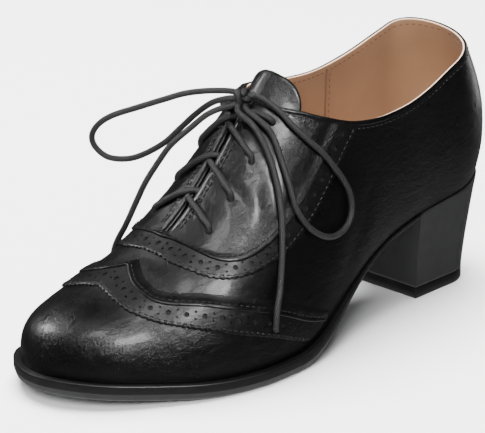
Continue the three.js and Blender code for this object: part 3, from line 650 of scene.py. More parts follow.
LINING_START = int(np.searchsorted(STATIONS, THROAT_FOOT - 0.004))
LINING_ROWS = 40
LINING_LIFT = -2 * LEATHER_ROLL + 0.06
# In the throat, as far as THROAT_END, the lining stays this many millimetres back from the gap's edge.
THROAT_SET_BACK = 6.0
THROAT_END = 0.474


def lining_side(sign):
    """Rows of points on one side of the lining, from behind its rolled top edge down to the insole."""
    along = STATIONS[LINING_START:]
    back_by = down_share(np.minimum(along, GAP_TO), THROAT_SET_BACK)
    back_by = back_by * np.clip((THROAT_END - along) / 0.012, 0, 1)
    top = np.maximum(top_girth(sign)[LINING_START:], 1e-6) + back_by
    edge = sign * top
    rows = [skin(along, edge + sign * 0.03, LINING_LIFT), skin(along, edge, LINING_LIFT)]
    rows += edge_roll(along, edge, LINING_LIFT, LINING_ROLL)
    for j in range(LINING_ROWS + 1):
        girth = sign * (top + (j / LINING_ROWS) ** 1.1 * (1 - top))
        rows.append(skin(along, girth, LINING_LIFT - 2 * LINING_ROLL + 0.35 * creased(along, girth)))
    return np.array(rows)


def front_lining():
    """The lining ahead of the throat, right across from sole to sole."""
    along = STATIONS[2 : LINING_START + 1]
    across = np.linspace(-1, 1, 61)
    return np.array([skin(along, np.full_like(along, g if abs(g) > 1e-9 else 0.0), -WALL) for g in across])


ROLL_ROWS = 7
lining_pieces = [(lining_side(-1), True), (lining_side(1), False), (front_lining(), True)]
lining = merge(grid_to_mesh("lining", lining_pieces, LINING, slot="beige_lining"), 0.01)
lining.data.materials.append(LINING_EDGE_HIGHLIGHT)


def paint_roll_highlight():
    """Paints a highlight on the lining's rolled top edge: a paler colour that stands in for the light the
    roll catches.
    """
    cloud = np.concatenate([side[:ROLL_ROWS].reshape(-1, 3) for side, _ in lining_pieces[:2]])
    tree = KDTree(len(cloud))
    for i, p in enumerate(cloud):
        tree.insert(p * MM, i)
    tree.balance()
    for face in lining.data.polygons:
        if all(tree.find(lining.data.vertices[v].co)[2] < 1e-5 for v in face.vertices):
            face.material_index = 1


paint_roll_highlight()


# Bands and facings, with pinked edges and holes.
def band_place(table, count):
    """place(t, v): along and girth on a band; t runs over its rows, below 0 on the outer side of the foot."""
    rows = dict(table, i=list(range(count)))
    f = {name: smooth(rows, "i", name) for name in ("outer_at", "outer_down", "inner_at", "inner_down")}

    def place(t, v):
        a = np.abs(t)
        along = f["outer_at"](a) + v * (f["inner_at"](a) - f["outer_at"](a))
        down = f["outer_down"](a) + v * (f["inner_down"](a) - f["outer_down"](a))
        return along, np.where(t < 0, -1.0, 1.0) * down

    return place


class Strip:
    """A band's own coordinates: s in millimetres along its middle, v across from 0, outer, to 1, inner."""

    def __init__(self, table, count, low_t, high_t, middle=0.5):
        self.place = band_place(table, count)
        t = np.linspace(low_t, high_t, 900)
        along, girth = self.place(t, middle)
        line = skin(along, girth, 1.0)
        self.t, self.s = t, run_length(line)
        self.length = self.s[-1]
        edge = [skin(*self.place(t, v), 1.0) for v in (0.0, 1.0)]
        self.width = np.linalg.norm(edge[1] - edge[0], axis=1)

    def at(self, s, v, lift):
        t = np.interp(s, self.s, self.t)
        along, girth = self.place(t, v)
        return skin(along, girth, lift)

    def across(self, s):
        return np.interp(s, self.s, self.width)


def local_frame(strip, s, v):
    """The (s, v) steps that make one millimetre along and one across a strip, as a 2 by 2 matrix."""
    ahead = (strip.at(s + 0.3, v, 1.0) - strip.at(s - 0.3, v, 1.0)) / 0.6
    over = (strip.at(s, v + 0.02, 1.0) - strip.at(s, v - 0.02, 1.0)) / 0.04
    first = ahead / np.linalg.norm(ahead)
    second = over - first * first.dot(over)
    second /= np.linalg.norm(second)
    turned = np.linalg.pinv(np.stack([ahead, over], 1))
    return np.stack([turned @ first, turned @ second], 1)


PINK_PITCH = 2.3
PINK_DEPTH = 0.62
PANEL_CORNER = 40.107
RING_SIDES = 14
DISC_SIDES = 12
# Rows of points close to a panel's edges, in millimetres from them.
EDGE_ROWS = (0.12, 0.3, 0.6)


def circle_on(strip, s0, v0, radius, count):
    """The s and v of a round ring on a strip."""
    turn = np.linspace(0, 2 * np.pi, count, endpoint=False)
    ring = local_frame(strip, s0, v0) @ np.stack([np.cos(turn), np.sin(turn)]) * radius
    return s0 + ring[0], v0 + ring[1]


def in_hole(s, v, holes):
    """Whether a point of a strip lies in a hole or just beside it."""
    return any(
        abs(s - s0) < 2 * radius + 2 and np.hypot(*(flat_of @ (s - s0, v - v0))) < radius + 0.35
        for s0, v0, radius, flat_of in holes
    )


def open_edges(triangles):
    """The edges that only one triangle has, in that triangle's direction."""
    used = {}
    for tri in triangles:
        for a, b in zip(tri, tri[1:] + tri[:1]):
            key = (min(a, b), max(a, b))
            used[key] = None if key in used else (a, b)
    return [pair for pair in used.values() if pair]


def panel(name, strip, low, high, holes, lift_of, bottom, material, cell=1.3, pinked=True, **names):
    """A thin panel over a strip, from v = low(s) to high(s), with round holes, triangulated in the flat."""
    steps = int(strip.length / (PINK_PITCH / 6)) if pinked else int(strip.length / 0.8)
    s_edge = np.linspace(0, strip.length, steps + 1)
    bite = PINK_DEPTH if pinked else 0
    v_edge = low(s_edge) - bite * np.abs(np.sin(np.pi * s_edge / PINK_PITCH)) / strip.across(s_edge)
    s_grid = np.linspace(0, strip.length, int(strip.length / cell) + 1)
    mean = float(np.median(strip.width))
    points, edges = [], []

    def add_line(s, v, closed=False):
        base, n = len(points), len(s)
        points.extend(zip(s, v))
        edges.extend((base + i, base + (i + 1) % n) for i in range(n if closed else n - 1))
        return base, base + n - 1

    edges += zip(add_line(s_edge, v_edge), add_line(s_grid, high(s_grid)))
    ring_of = {}
    for k, hole in enumerate(holes):
        base, last = add_line(*circle_on(strip, *hole, RING_SIDES), True)
        ring_of.update((i, k) for i in range(base, last + 1))
    flattened = [(*hole, np.linalg.inv(local_frame(strip, *hole[:2]))) for hole in holes]
    inside = int(max(mean / cell, 3))
    for s in s_grid:
        w = float(strip.across(s))
        lo, hi = float(low(s)), float(high(s))
        ladder = [lo + d / w for d in EDGE_ROWS] + [hi - d / w for d in EDGE_ROWS]
        ladder += list(np.linspace(lo, hi, inside + 2)[1:-1])
        for v in ladder:
            if lo + 0.05 / w < v < hi - 0.05 / w and not in_hole(s, v, flattened):
                points.append((s, v))
    made = delaunay_2d_cdt([Vector((s, v * mean)) for s, v in points], edges, [], 0, 1e-6)
    s_all, v_all = np.array([(p.x, p.y / mean) for p in made[0]]).T
    source = [m[0] if m else -1 for m in made[3]]
    triangles = []
    for tri in made[2]:
        owners = {ring_of.get(source[i]) for i in tri}
        s, v = s_all[list(tri)].mean(), v_all[list(tri)].mean()
        outside = v < np.interp(s, s_edge, v_edge) - 1e-4 or v > float(high(np.array(s))) + 1e-4
        if not outside and (len(owners) > 1 or None in owners):
            triangles.append(tuple(tri))
    from_low = (v_all - np.interp(s_all, s_edge, v_edge)) * strip.across(s_all)
    from_high = (high(s_all) - v_all) * strip.across(s_all)
    top = strip.at(s_all, v_all, lift_of(s_all, v_all, from_low, from_high))
    walls = open_edges(triangles)
    rim_points = sorted({i for pair in walls for i in pair})
    number = {i: len(top) + k for k, i in enumerate(rim_points)}
    below = strip.at(s_all[rim_points], v_all[rim_points], np.full(len(rim_points), bottom))
    faces = triangles + [(b, a, number[a], number[b]) for a, b in walls]
    obj = add_mesh(name, np.r_[top, below], faces, material, **names)
    obj.data.materials.append(CUT_EDGE_AND_HOLE_SHADE)
    for face in obj.data.polygons[len(triangles):]:
        face.material_index = 1
    # Dark discs under the holes paint the shade inside them.
    if pinked:
        hole_shade_discs(f"{name}_holes", strip, holes)
    middle = len(triangles) // 2
    place = s_all[triangles[middle][0]], v_all[triangles[middle][0]]
    out = Vector(strip.at(*place, 2.0) - strip.at(*place, 1.0))
    with edited(obj) as bm:
        bmesh.ops.recalc_face_normals(bm, faces=bm.faces)
        bm.faces.ensure_lookup_table()
        if bm.faces[middle].normal.dot(out) < 0:
            bmesh.ops.reverse_faces(bm, faces=bm.faces)
    sharpen(obj, PANEL_CORNER)


def hole_shade_discs(name, strip, holes):
    """Painted shade in the holes: one small dark matte disc under each, standing in for the shade inside it.
    """
    points = []
    for s0, v0, radius in holes:
        s, v = circle_on(strip, s0, v0, radius + 0.25, DISC_SIDES)
        points.extend(strip.at(s, v, np.full(DISC_SIDES, 0.36)))
    add_mesh(name, points, np.arange(len(points)).reshape(-1, DISC_SIDES), CUT_EDGE_AND_HOLE_SHADE)


def round_off(distance, radius):
    """How far a rounded edge of that radius falls below the flat, at a distance from the edge."""
    d = np.clip(distance / radius, 0, 1)
    return radius * (1 - np.sqrt(np.maximum(1 - (1 - d) ** 2, 0)))


# The bands' holes, in millimetres.
HOLE_LINE = 0.5
HOLE_PITCH = 7.4
BIG_HOLE = 1.08
SMALL_HOLE = 0.5
SMALL_OFF = 1.5


def perforations(strip, margin):
    """A big hole on the band's middle and, half way to the next, a small one on each side of it."""
    holes = []
    start, end = margin, strip.length - margin
    count = int((end - start) / HOLE_PITCH)
    offset = start + ((end - start) - count * HOLE_PITCH) / 2
    for k in range(count + 1):
        s = offset + k * HOLE_PITCH
        holes.append((s, HOLE_LINE, BIG_HOLE))
        if k < count:
            middle = np.array([s + HOLE_PITCH / 2, HOLE_LINE])
            step = local_frame(strip, *middle)
            holes += [(*(middle + step[:, 1] * way), SMALL_HOLE) for way in (-SMALL_OFF, SMALL_OFF)]
    return holes


def flat_zero(s):
    return np.zeros_like(np.asarray(s, float))


def flat_one(s):
    return np.ones_like(np.asarray(s, float))


BAND_TOP = 1.1


def pinked_band(node, strip, margin):
    """One of the two bands, with its row of holes."""

    def lift(s, v, from_low, from_high):
        return BAND_TOP - round_off(from_low, 0.28)

    panel(f"{node}_pinked", strip, flat_zero, flat_one, perforations(strip, margin), lift, 0.05, BAND_LEATHER,
          node=node, slot="black_leather")


wing = Strip(WING_BAND, 9, -8, 8)
pinked_band("wing_band", wing, 7)


class Trimmed:
    """A strip cut off at the collar's line: the same calls, with s going from cut to cut at every v."""

    def __init__(self, strip, margin, low_v, high_v):
        self.strip = strip
        v = np.linspace(low_v, high_v, 25)
        starts, stops = [], []
        for value in v:
            point = strip.at(strip.s, np.full_like(strip.s, value), 0.6)
            inside = np.flatnonzero(point[:, 2] < collar_z(point) - margin)
            starts.append(strip.s[inside[0]])
            stops.append(strip.s[inside[-1]])
        self.v, self.starts, self.stops = v, np.array(starts), np.array(stops)
        self.length = float(np.max(self.stops) - np.min(self.starts))
        self.s = np.linspace(0, self.length, 700)
        self.width = np.interp(self.base(self.s, 0.5), strip.s, strip.width)

    def base(self, s, v):
        a, b = np.interp(v, self.v, self.starts), np.interp(v, self.v, self.stops)
        middle = self.strip.length / 2
        share = np.asarray(s) / self.length * 2 - 1
        return np.where(share < 0, middle + share * (middle - a), middle + share * (b - middle))

    def at(self, s, v, lift):
        return self.strip.at(self.base(s, v), v, lift)

    def across(self, s):
        return np.interp(s, self.s, self.width)


throat_cut = Trimmed(Strip(THROAT_BAND, 11, -10, 10), 0.5, 0.0, 1.0)
pinked_band("throat_band", throat_cut, 4.5)

STAY_TABLE = dict(
    outer_at=THROAT_BAND["inner_at"],
    outer_down=THROAT_BAND["inner_down"],
    inner_at=STAY_EDGE,
    inner_down=[0.0] + [float(down_share(edge, THROAT_GAP / 2)) for edge in STAY_EDGE[1:]],
)
STAY_TOP = 1.5
# How far the facings lie over the throat band's inner edge.
OVER = 1.1
stay_strip = Strip(STAY_TABLE, 11, -10, 10, middle=0.3)
stay_cut = Trimmed(stay_strip, 0.4, -0.1, 1.0)


def stay_low(s):
    return -OVER / stay_cut.across(s)


def stay_lift(s, v, from_low, from_high):
    over = 0.62 * np.exp(-((np.maximum(from_low - OVER + 0.4, 0) / 1.7) ** 2))
    ease = np.clip((v - 0.02) / 0.2, 0, 1) * np.clip((1 - v) / 0.15, 0, 1)
    t = stay_cut.base(s, v)
    along, girth = stay_strip.place(np.interp(t, stay_strip.s, stay_strip.t), v)
    edge = round_off(from_low, 0.5) + round_off(from_high, 0.6)
    edge = edge + round_off(np.minimum(s, stay_cut.length - s), 0.7)
    return STAY_TOP + over - edge + creased(along, girth) * ease


def eyelet_at(row):
    return EYELET_FIRST + (EYELET_LAST - EYELET_FIRST) * row / (EYELET_ROWS - 1)


def find_on(strip, target):
    """The (s, v) of the point of a strip that is nearest to a point in space."""
    s, v = np.meshgrid(np.linspace(0, strip.length, 500), np.linspace(0.02, 0.98, 90), indexing="ij")
    far = np.linalg.norm(strip.at(s, v, np.full(s.shape, STAY_TOP)) - target, axis=-1)
    i = np.unravel_index(np.argmin(far), far.shape)
    return float(s[i]), float(v[i])


EYELET_RADIUS = 1.5
stay_holes = []
for row in range(EYELET_ROWS):
    for side in (-1, 1):
        mouth = skin(eyelet_at(row), side * EYELET_DOWN, STAY_TOP)
        stay_holes.append((*find_on(stay_cut, mouth), EYELET_RADIUS))
panel("facings", stay_cut, stay_low, flat_one, stay_holes, stay_lift, 0.0, LEATHER, cell=1.2, pinked=False,
      node="lace_stay", slot="black_leather")

# The vamp's folded edge lies over the wing band and runs out into the vamp: rows of distance and lift.
FOLD = [(-1.3, 1.12), (-1.42, 1.4), (-1.34, 1.6), (-1.08, 1.72), (-0.7, 1.72), (0.0, 1.52), (0.8, 1.14),
        (1.6, 0.72), (2.5, 0.36), (3.5, 0.12), (4.5, -0.04), (5.4, -0.3)]


def vamp_fold():
    s = np.linspace(0.0, wing.length, int(wing.length / 0.9))
    t = np.interp(s, wing.s, wing.t)
    rows = []
    for distance, lift in FOLD:
        along, girth = wing.place(t, 1 + distance / wing.across(s))
        rows.append(skin(along, girth, lift + creased(along, girth)))
    merge(rows_to_mesh("vamp_fold", rows, LEATHER, slot="black_leather"))


vamp_fold()


# Stitches, gathered by thread. Each is a small capsule half sunk in the leather.
STITCHES = {"black": [], "pale": []}
# From end to end of a stitch: the share of its length, and its thickness and height as shares of its radius.
STITCH_PROFILE = [
    (0.0, 0.35, -0.5),
    (0.12, 0.85, -0.05),
    (0.5, 1.0, 0.25),
    (0.88, 0.85, -0.05),
    (1.0, 0.35, -0.5),
]
STITCH_SIDES = 6


def stitch_along(point, normal, margin, kind="black", pitch=2.7, length=2.0, radius=0.3):
    """A row of stitches at even distances along a line of points."""
    run = run_length(point)
    low, high = margin, run[-1] - margin
    count = int((high - low) / pitch)
    start = low + ((high - low) - count * pitch) / 2
    for k in range(count):
        s = start + (k + 0.5) * pitch
        at = np.array([s - length / 2, s, s + length / 2])
        way = values_at(at, run, normal)[1]
        STITCHES[kind].append((values_at(at, run, point), unit(way), radius))


def stitch_strip(strip, edge, off, lift, margin):
    """A row of stitches along a strip, off millimetres inwards from v = edge."""
    s = np.linspace(margin, strip.length - margin, 500)
    low, high = (strip.at(s, edge + off / strip.across(s), np.full_like(s, lift + k)) for k in (0.0, 1.0))
    stitch_along(low, high - low, 0.6)


def stitch_surface(along, girth, lift, **more):
    """A row of stitches along a line given by along and girth shares."""
    point = skin(along, girth, lift)
    stitch_along(point, skin(along, girth, lift + 1.0) - point, 0.5, **more)


def stitch_mesh(kind, material):
    """All stitches of one thread as one mesh."""
    turn = 2 * np.pi * np.arange(STITCH_SIDES)[:, None] / STITCH_SIDES
    points, faces, base = [], [], 0
    for (a, middle, b), normal, radius in STITCHES[kind]:
        way = unit(b - a)
        side = unit(np.cross(way, normal))
        up = np.cross(side, way)
        for share, grow, rise in STITCH_PROFILE:
            centre = (middle if share == 0.5 else a + (b - a) * share) + up * radius * rise
            points.append(centre + radius * grow * (np.cos(turn) * side + np.sin(turn) * up))
        faces += grid_faces(len(STITCH_PROFILE), STITCH_SIDES, base, wrap=True).tolist()
        end = base + STITCH_SIDES * (len(STITCH_PROFILE) - 1)
        faces += [range(base, base + STITCH_SIDES)[::-1], range(end, end + STITCH_SIDES)]
        base = end + STITCH_SIDES
    add_mesh(f"stitches_{kind}", np.concatenate(points), faces, material)


# The rows along the edges of the bands, on the vamp's fold and on the facings.
stitch_strip(wing, 0, 1.0, BAND_TOP, 1.0)
stitch_strip(throat_cut, 0, 1.0, BAND_TOP, 0.5)
stitch_strip(wing, 1, 0.6, 1.2, 1.0)
stitch_strip(stay_cut, 0, 0.9, 2.0, 0.6)

PALE = dict(kind="pale", pitch=2.9, length=1.5, radius=0.2)
PALE_LIFT = -1.68
LINING_JOIN = 0.705
LINING_JOIN_LEAN = 0.008
for side, _ in SIDES:
    # Outside the collar, from the band to the back.
    run = np.linspace(0.5, 1.0, 260)
    stitch_surface(run, side * np.maximum(collar_girth(run, side, 2.6), 0.01), 0.02)
    # On the facings, along the collar.
    run = np.linspace(0.452, 0.505, 60)
    stitch_surface(run, side * collar_girth(run, side, 2.4), STAY_TOP)
    # Inside the collar.
    run = np.linspace(0.47, 1.0, 260)
    stitch_surface(run, side * np.maximum(collar_girth(run, side, 2.6), 0.02), PALE_LIFT, **PALE)
    # On the facings, beside the gap.
    run = np.linspace(0.258, 0.447, 120)
    for off in (4.1, 5.5):
        stitch_surface(run, side * down_share(run, off), STAY_TOP + 0.08, radius=0.36)
    # Beside the lining's join.
    girth = side * np.linspace(float(collar_girth(np.array([LINING_JOIN]), side, 3.0)[0]), 0.9, 60)
    along = LINING_JOIN + 0.011 + LINING_JOIN_LEAN * np.linspace(0, 1, 60)
    stitch_surface(along, girth, PALE_LIFT, **PALE)
stitch_mesh("black", THREAD)
stitch_mesh("pale", PALE_THREAD)

# Across a seam: the share of its width and of its height.
SEAM_PROFILE = [(-1.0, -0.3), (-0.75, 0.0), (-0.4, 0.6), (0.0, 1.0), (0.4, 0.6), (0.75, 0.0), (1.0, -0.3)]


def seam(name, along, girth, lift, width, height, material, slot):
    """A narrow raised ridge with a groove on each side, along a line on the surface."""
    point = skin(along, girth, lift)
    normal = unit(skin(along, girth, lift + 1.0) - point)
    side = np.cross(curve_tangents(point), normal)
    rows = [point + side * (d * width) + normal * (h * height) for d, h in SEAM_PROFILE]
    rows_to_mesh(name, rows, material, slot=slot)


for side, word in SIDES:
    # The folded edge beside the gap and the one along the collar.
    run = np.linspace(0.256, 0.4515, 90)
    girth = side * down_share(run, 2.55)
    seam(f"gap_fold_{word}", run, girth, STAY_TOP - 0.1, 1.05, 0.62, LEATHER, "black_leather")
    run = np.linspace(0.515, 1.0, 160)
    girth = side * np.maximum(collar_girth(run, side, 1.0), 0.004)
    seam(f"collar_fold_{word}", run, girth, -0.02, 0.85, 0.3, LEATHER, "black_leather")

for side, word in SIDES:
    # The lining's join.
    girth = side * np.linspace(float(collar_girth(np.array([LINING_JOIN]), side, 1.5)[0]), 0.9, 40)
    along = LINING_JOIN + LINING_JOIN_LEAN * np.linspace(0, 1, 40)
    seam(f"lining_seam_{word}", along, girth, -1.62, 0.5, -0.5, SEAM_SHADE, "beige_lining")

# Outsole. It ends at the heel's front face, which is called the breast.
BREAST = -HEEL_LENGTH / 2


def side_outline(side, stations, margin):
    """The feather line in plan on one side, moved outwards by margin."""
    level = np.zeros_like(stations)
    here = last_point(stations, level, side)
    step = 1e-3
    ahead = last_point(np.minimum(stations + step, 1), level, side)
    behind = last_point(np.maximum(stations - step, 0), level, side)
    way = (ahead - behind)[:, :2]
    out = np.stack([-way[:, 1], way[:, 0]], 1)
    out = out / np.maximum(np.linalg.norm(out, axis=1, keepdims=True), 1e-12) * side
    out[stations == 0] = (-1, 0)
    out[stations == 1] = (1, 0)
    return here[:, :2] + out * margin[:, None]


# Round the sole's edge, from top to underside: millimetres in from the rim, and the share of the depth.
SOLE_PROFILE = [
    (9.0, 0.045), (4.0, 0.045), (0.75, 0.045), (0.5, 0.06), (0.3, 0.035), (0.12, 0.07),
    (0.02, 0.13), (0.0, 0.2), (0.0, 0.5), (0.03, 0.56), (0.16, 0.6), (0.3, 0.66),
    (0.75, 0.86), (1.05, 0.955), (1.5, 1.0), (4.0, 1.0),
]
def outsole_mesh():
    stations = np.r_[0.1 * (np.arange(40) / 40) ** 2, np.linspace(0.1, to_at(BREAST - GAP), 150)]
    margin = rim(stations) * SOLE_RIM
    depth = SHANK_THICKNESS + (SOLE_THICKNESS - SHANK_THICKNESS) * full(stations)
    thin = 0.35 + 0.65 * depth / SOLE_THICKNESS
    rings = []
    for inset, down in SOLE_PROFILE:
        sides = []
        for side in (-1, 1):
            line = side_outline(side, stations, margin - inset * (1.0 if inset > 2 else thin))
            x = np.minimum(line[:, 0], BREAST - GAP)
            z = bottom_z(to_at(x)) - np.maximum(down * depth, 0.32 if down < 0.1 else 0)
            sides.append(np.stack([x, line[:, 1], z], 1))
        rings.append(np.concatenate([sides[0][::-1], sides[1][1:]]))
    grid = np.array(rings)
    rows, columns = grid.shape[:2]
    faces = grid_faces(rows, columns).tolist()
    # The middle of the top and of the underside is filled, and the rings' ends are closed across the breast.
    faces += ring_cap(0, columns, True) + ring_cap((rows - 1) * columns, columns, True)
    starts = [r * columns for r in range(rows)]
    faces.append(starts + [k + columns - 1 for k in reversed(starts)])
    points = grid.reshape(-1, 3)
    obj = add_mesh("outsole_smooth", points, faces, SOLE_EDGE, node="outsole", slot="black_rubber")
    sharpen(merge(obj), 38)


outsole_mesh()


# Heel.

HEEL_STEPS = 70


def heel_foot(side):
    half = HEEL_WIDTH / 2
    turn = np.linspace(0, np.pi / 2, 40)
    arc = np.stack([
        HEEL_LENGTH / 2 - HEEL_CORNER + HEEL_CORNER * np.sin(turn),
        half - HEEL_CORNER + HEEL_CORNER * np.cos(turn),
    ], 1)
    points = np.concatenate([[[BREAST, half]], arc, [[HEEL_LENGTH / 2, 0]]])
    return spread(points, HEEL_STEPS) * [1, side]


def heel_seat(side):
    start = to_at(BREAST)
    stations = np.r_[start, STATIONS[STATIONS > start]]
    points = side_outline(side, stations, np.full_like(stations, HEEL_FLARE))
    points[0, 0] = BREAST
    return spread(points, HEEL_STEPS)


def inset_ring(points, inset):
    """Moves a closed ring of plan points inwards."""
    ahead = np.roll(points, -1, 0) - np.roll(points, 1, 0)
    normal = np.stack([ahead[:, 1], -ahead[:, 0]], 1)
    normal /= np.maximum(np.linalg.norm(normal, axis=1, keepdims=True), 1e-9)
    centre = points.mean(0)
    flip = np.sign(np.einsum("ij,ij->i", normal, centre - points))
    return points + normal * (flip * inset)[:, None]


def full_ring(outline):
    return np.concatenate([outline(-1), outline(1)[:-1][::-1]])


def capped(name, rings, material, **names):
    """A closed piece from rings of points, from its underside to its top."""
    grid = np.array(rings)
    rows, columns = grid.shape[:2]
    faces = grid_faces(rows, columns, wrap=True).tolist()
    faces += ring_cap(0, columns, False) + ring_cap((rows - 1) * columns, columns, True)
    sharpen(merge(add_mesh(name, grid.reshape(-1, 3), faces, material, **names)), 40)


def heel_mesh():
    """The covered heel, from the top piece to the seat: levels of share up and inset."""
    foot, seat = full_ring(heel_foot), full_ring(heel_seat)
    seat_z = bottom_z(to_at(seat[:, 0])) - GAP
    base_z = TOP_PIECE + 0.25
    levels = [(0.0, 0.5), (0.0, 0.15), (0.006, 0.0)] + [(k / 30, 0.0) for k in range(1, 30)]
    levels += [(0.985, 0.0), (1.0, 0.25)]
    rings = []
    for share, inset in levels:
        mixed = inset_ring(foot + (seat - foot) * share**HEEL_SWEEP, inset)
        z = base_z + (seat_z - base_z) * share
        rings.append(np.concatenate([mixed, z[:, None]], 1))
    capped("heel_cover", rings, HEEL_COVER, node="heel_block", slot="heel_cover")


def top_piece_mesh():
    """The heel's top piece, on which it stands: levels of inset and height."""
    foot = full_ring(heel_foot)
    levels = [(0.6, 0.0), (0.15, 0.12), (0.0, 0.5)]
    levels += [(0.0, TOP_PIECE - 0.35), (0.12, TOP_PIECE - 0.1), (0.5, TOP_PIECE)]
    rings = [np.concatenate([inset_ring(foot, inset), np.full((len(foot), 1), z)], 1) for inset, z in levels]
    capped("heel_tip", rings, SOLE_EDGE, node="heel_top_piece", slot="black_rubber")


heel_mesh()
top_piece_mesh()


# Insole and tongue.
SOCK_LIFT = 2.65


def insole_mesh():
    """The insole with its sock, dished a little and rounded at the edge."""
    front, middle = np.linspace(0.008, 0.1, 24), np.linspace(0.105, FAN_AT, 90)
    stations = np.r_[front, middle, np.linspace(FAN_AT + 0.003, 1, 30)]
    outer, inner = (side_outline(side, stations, np.full_like(stations, -(WALL + 0.5))) for side in (-1, 1))
    rows = []
    for share in np.linspace(-1, 1, 41):
        mix = (share + 1) / 2
        line = outer * (1 - mix) + inner * mix
        lift = SOCK_LIFT - 0.9 * np.abs(share) ** 14
        z = bottom_z(to_at(line[:, 0])) + lift + 0.8 * np.abs(share) ** 4
        rows.append(np.concatenate([line, z[:, None]], 1))
    merge(rows_to_mesh("sock", rows, LINING, node="insole", slot="beige_lining"))


insole_mesh()

# How much further than the CAD's tongue the soft one runs, from its middle to its sides: a broad round top.
TONGUE_TOP = dict(
    across=[0.0, 0.25, 0.45, 0.62, 0.78, 0.9, 1.0],
    more=[-0.004, -0.002, 0.002, 0.005, 0.003, -0.005, -0.02],
)


# Layers of depth and inset that round the tongue's edge.
TONGUE_LAYERS = [(0.0, 1.0), (0.14, 0.45), (0.5, 0.0), (1.2, 0.0), (1.56, 0.45), (1.7, 1.0)]
# In millimetres: how far the free end sinks at its sides, spreads, and swells in its middle.
TONGUE_SINK = 2.4
TONGUE_SPREAD = 2.6
TONGUE_SWELL = 0.5


def tongue_mesh():
    """A padded tongue with a broad round top; its free end runs straight on and sinks at the sides."""
    half = smooth(TONGUE, "at", "half")
    high = WALL + 0.8
    slope = (skin(TONGUE_FREE, 0, 0) - skin(TONGUE_FREE - 0.01, 0, 0)) / 0.01
    start, last = THROAT_FOOT - 0.003, TONGUE["at"][-1]
    across = np.linspace(-1, 1, 57)
    stop = last + smooth(TONGUE_TOP, "across", "more")(np.abs(across))

    def face(depth, inset):
        rows = []
        for share in np.linspace(0, 1, 96):
            a = start + (stop - inset * 0.0035 - start) * share
            held = np.minimum(a, TONGUE_FREE)
            width = across * (half(np.minimum(a, 0.47)) - inset * 0.007)
            free = (a - held) / (last - TONGUE_FREE)
            point = skin(held, width, -high - TONGUE_SINK * across**2 * free - depth)
            out = skin(held, width, 1.0) - skin(held, width, 0.0)
            crown = TONGUE_SWELL * (1 - across**2) * np.clip((a - 0.44) / 0.03, 0, 1)
            point = point + slope * (a - held)[:, None] + out * crown[:, None]
            point[:, 1] += TONGUE_SPREAD * across * np.clip(free, 0, 1) ** 2
            rows.append(point)
        return np.array(rows)

    layers = [face(*layer) for layer in TONGUE_LAYERS]

    def ring(grid):
        return np.concatenate([grid[:, 0], grid[-1, 1:], grid[::-1, -1][1:]])

    rings = [ring(layer) for layer in layers]
    rows, columns = layers[0].shape[:2]
    points = [layers[0].reshape(-1, 3), layers[-1].reshape(-1, 3)] + rings
    faces = grid_faces(rows, columns).tolist()
    faces += [f[::-1] for f in grid_faces(rows, columns, rows * columns).tolist()]
    faces += grid_faces(len(rings), len(rings[0]), 2 * rows * columns).tolist()
    obj = add_mesh("tongue_soft", np.concatenate(points), faces, LEATHER, node="tongue", slot="black_leather")
    merge(obj, 0.01)


tongue_mesh()


# Laces. The braid repeats every BRAID millimetres.
TUBE_SIDES = 18
BRAID = 1.9


def catmull(points, step=0.7):
    """A dense smooth line through the points, an even distance apart."""
    p = np.asarray(points, float)
    p = np.vstack([2 * p[0] - p[1], p, 2 * p[-1] - p[-2]])
    out = []
    for i in range(1, len(p) - 2):
        t = np.linspace(0, 1, 12, endpoint=False)[:, None]
        a, b, c, d = p[i - 1], p[i], p[i + 1], p[i + 2]
        square, cube = 2 * a - 5 * b + 4 * c - d, 3 * b - a - 3 * c + d
        out.append(0.5 * (2 * b + (c - a) * t + square * t**2 + cube * t**3))
    out.append(p[-2][None])
    return resample(np.concatenate(out), step)


def tube(line):
    """The points of a round lace with rounded ends, and its round and lengthwise coordinates."""
    way = curve_tangents(line)
    normal = np.cross(way[0], [0.3, 0.2, 1.0])
    normal /= np.linalg.norm(normal)
    radius = LACE / 2
    lengths = run_length(line)
    d = np.clip(np.minimum(lengths, lengths[-1] - lengths) / radius, 0.02, 1)
    radii = radius * np.sqrt(1 - (1 - d) ** 2)
    rows, uv = [], []
    turn = np.linspace(0, 2 * np.pi, TUBE_SIDES + 1)
    for k in range(len(line)):
        normal = normal - way[k] * normal.dot(way[k])
        normal /= np.linalg.norm(normal)
        side = np.cross(way[k], normal)
        rows.append(line[k] + radii[k] * (np.cos(turn)[:, None] * normal + np.sin(turn)[:, None] * side))
        uv.append(np.stack([turn / (2 * np.pi), np.full(TUBE_SIDES + 1, lengths[k] / BRAID)], 1))
    return np.array(rows), np.array(uv)


def lace_mesh(name, lines, node):
    """One mesh of several laces, with the braid's coordinates in its uv layer."""
    tubes = [tube(line) for line in lines]
    uvs = np.concatenate([uv.reshape(-1, 2) for _, uv in tubes])
    obj = grid_to_mesh(name, [(rows, False) for rows, _ in tubes], CORD, slot="black_lace", node=node)
    layer = obj.data.uv_layers.new(name="tube")
    index = np.zeros(len(obj.data.loops), dtype=int)
    obj.data.loops.foreach_get("vertex_index", index)
    layer.data.foreach_set("uv", uvs[index].ravel())
    return merge(obj)


CROSS_LIFT = STAY_TOP + LACE / 2 + 0.1
INNER_END = -3.2
# How far up the instep a strand gets from its eyelet to the gap, by side and row.
STRAND_CLIMB = {-1: (0.021, 0.021, 0.016), 1: (0.034, 0.031, 0.027)}
# By side, how much higher than CROSS_LIFT a strand is on its facing and over the gap: the outer one on top.
STRAND_LIFT = {-1: (0.25, 0.0), 1: (0.05, -1.4)}


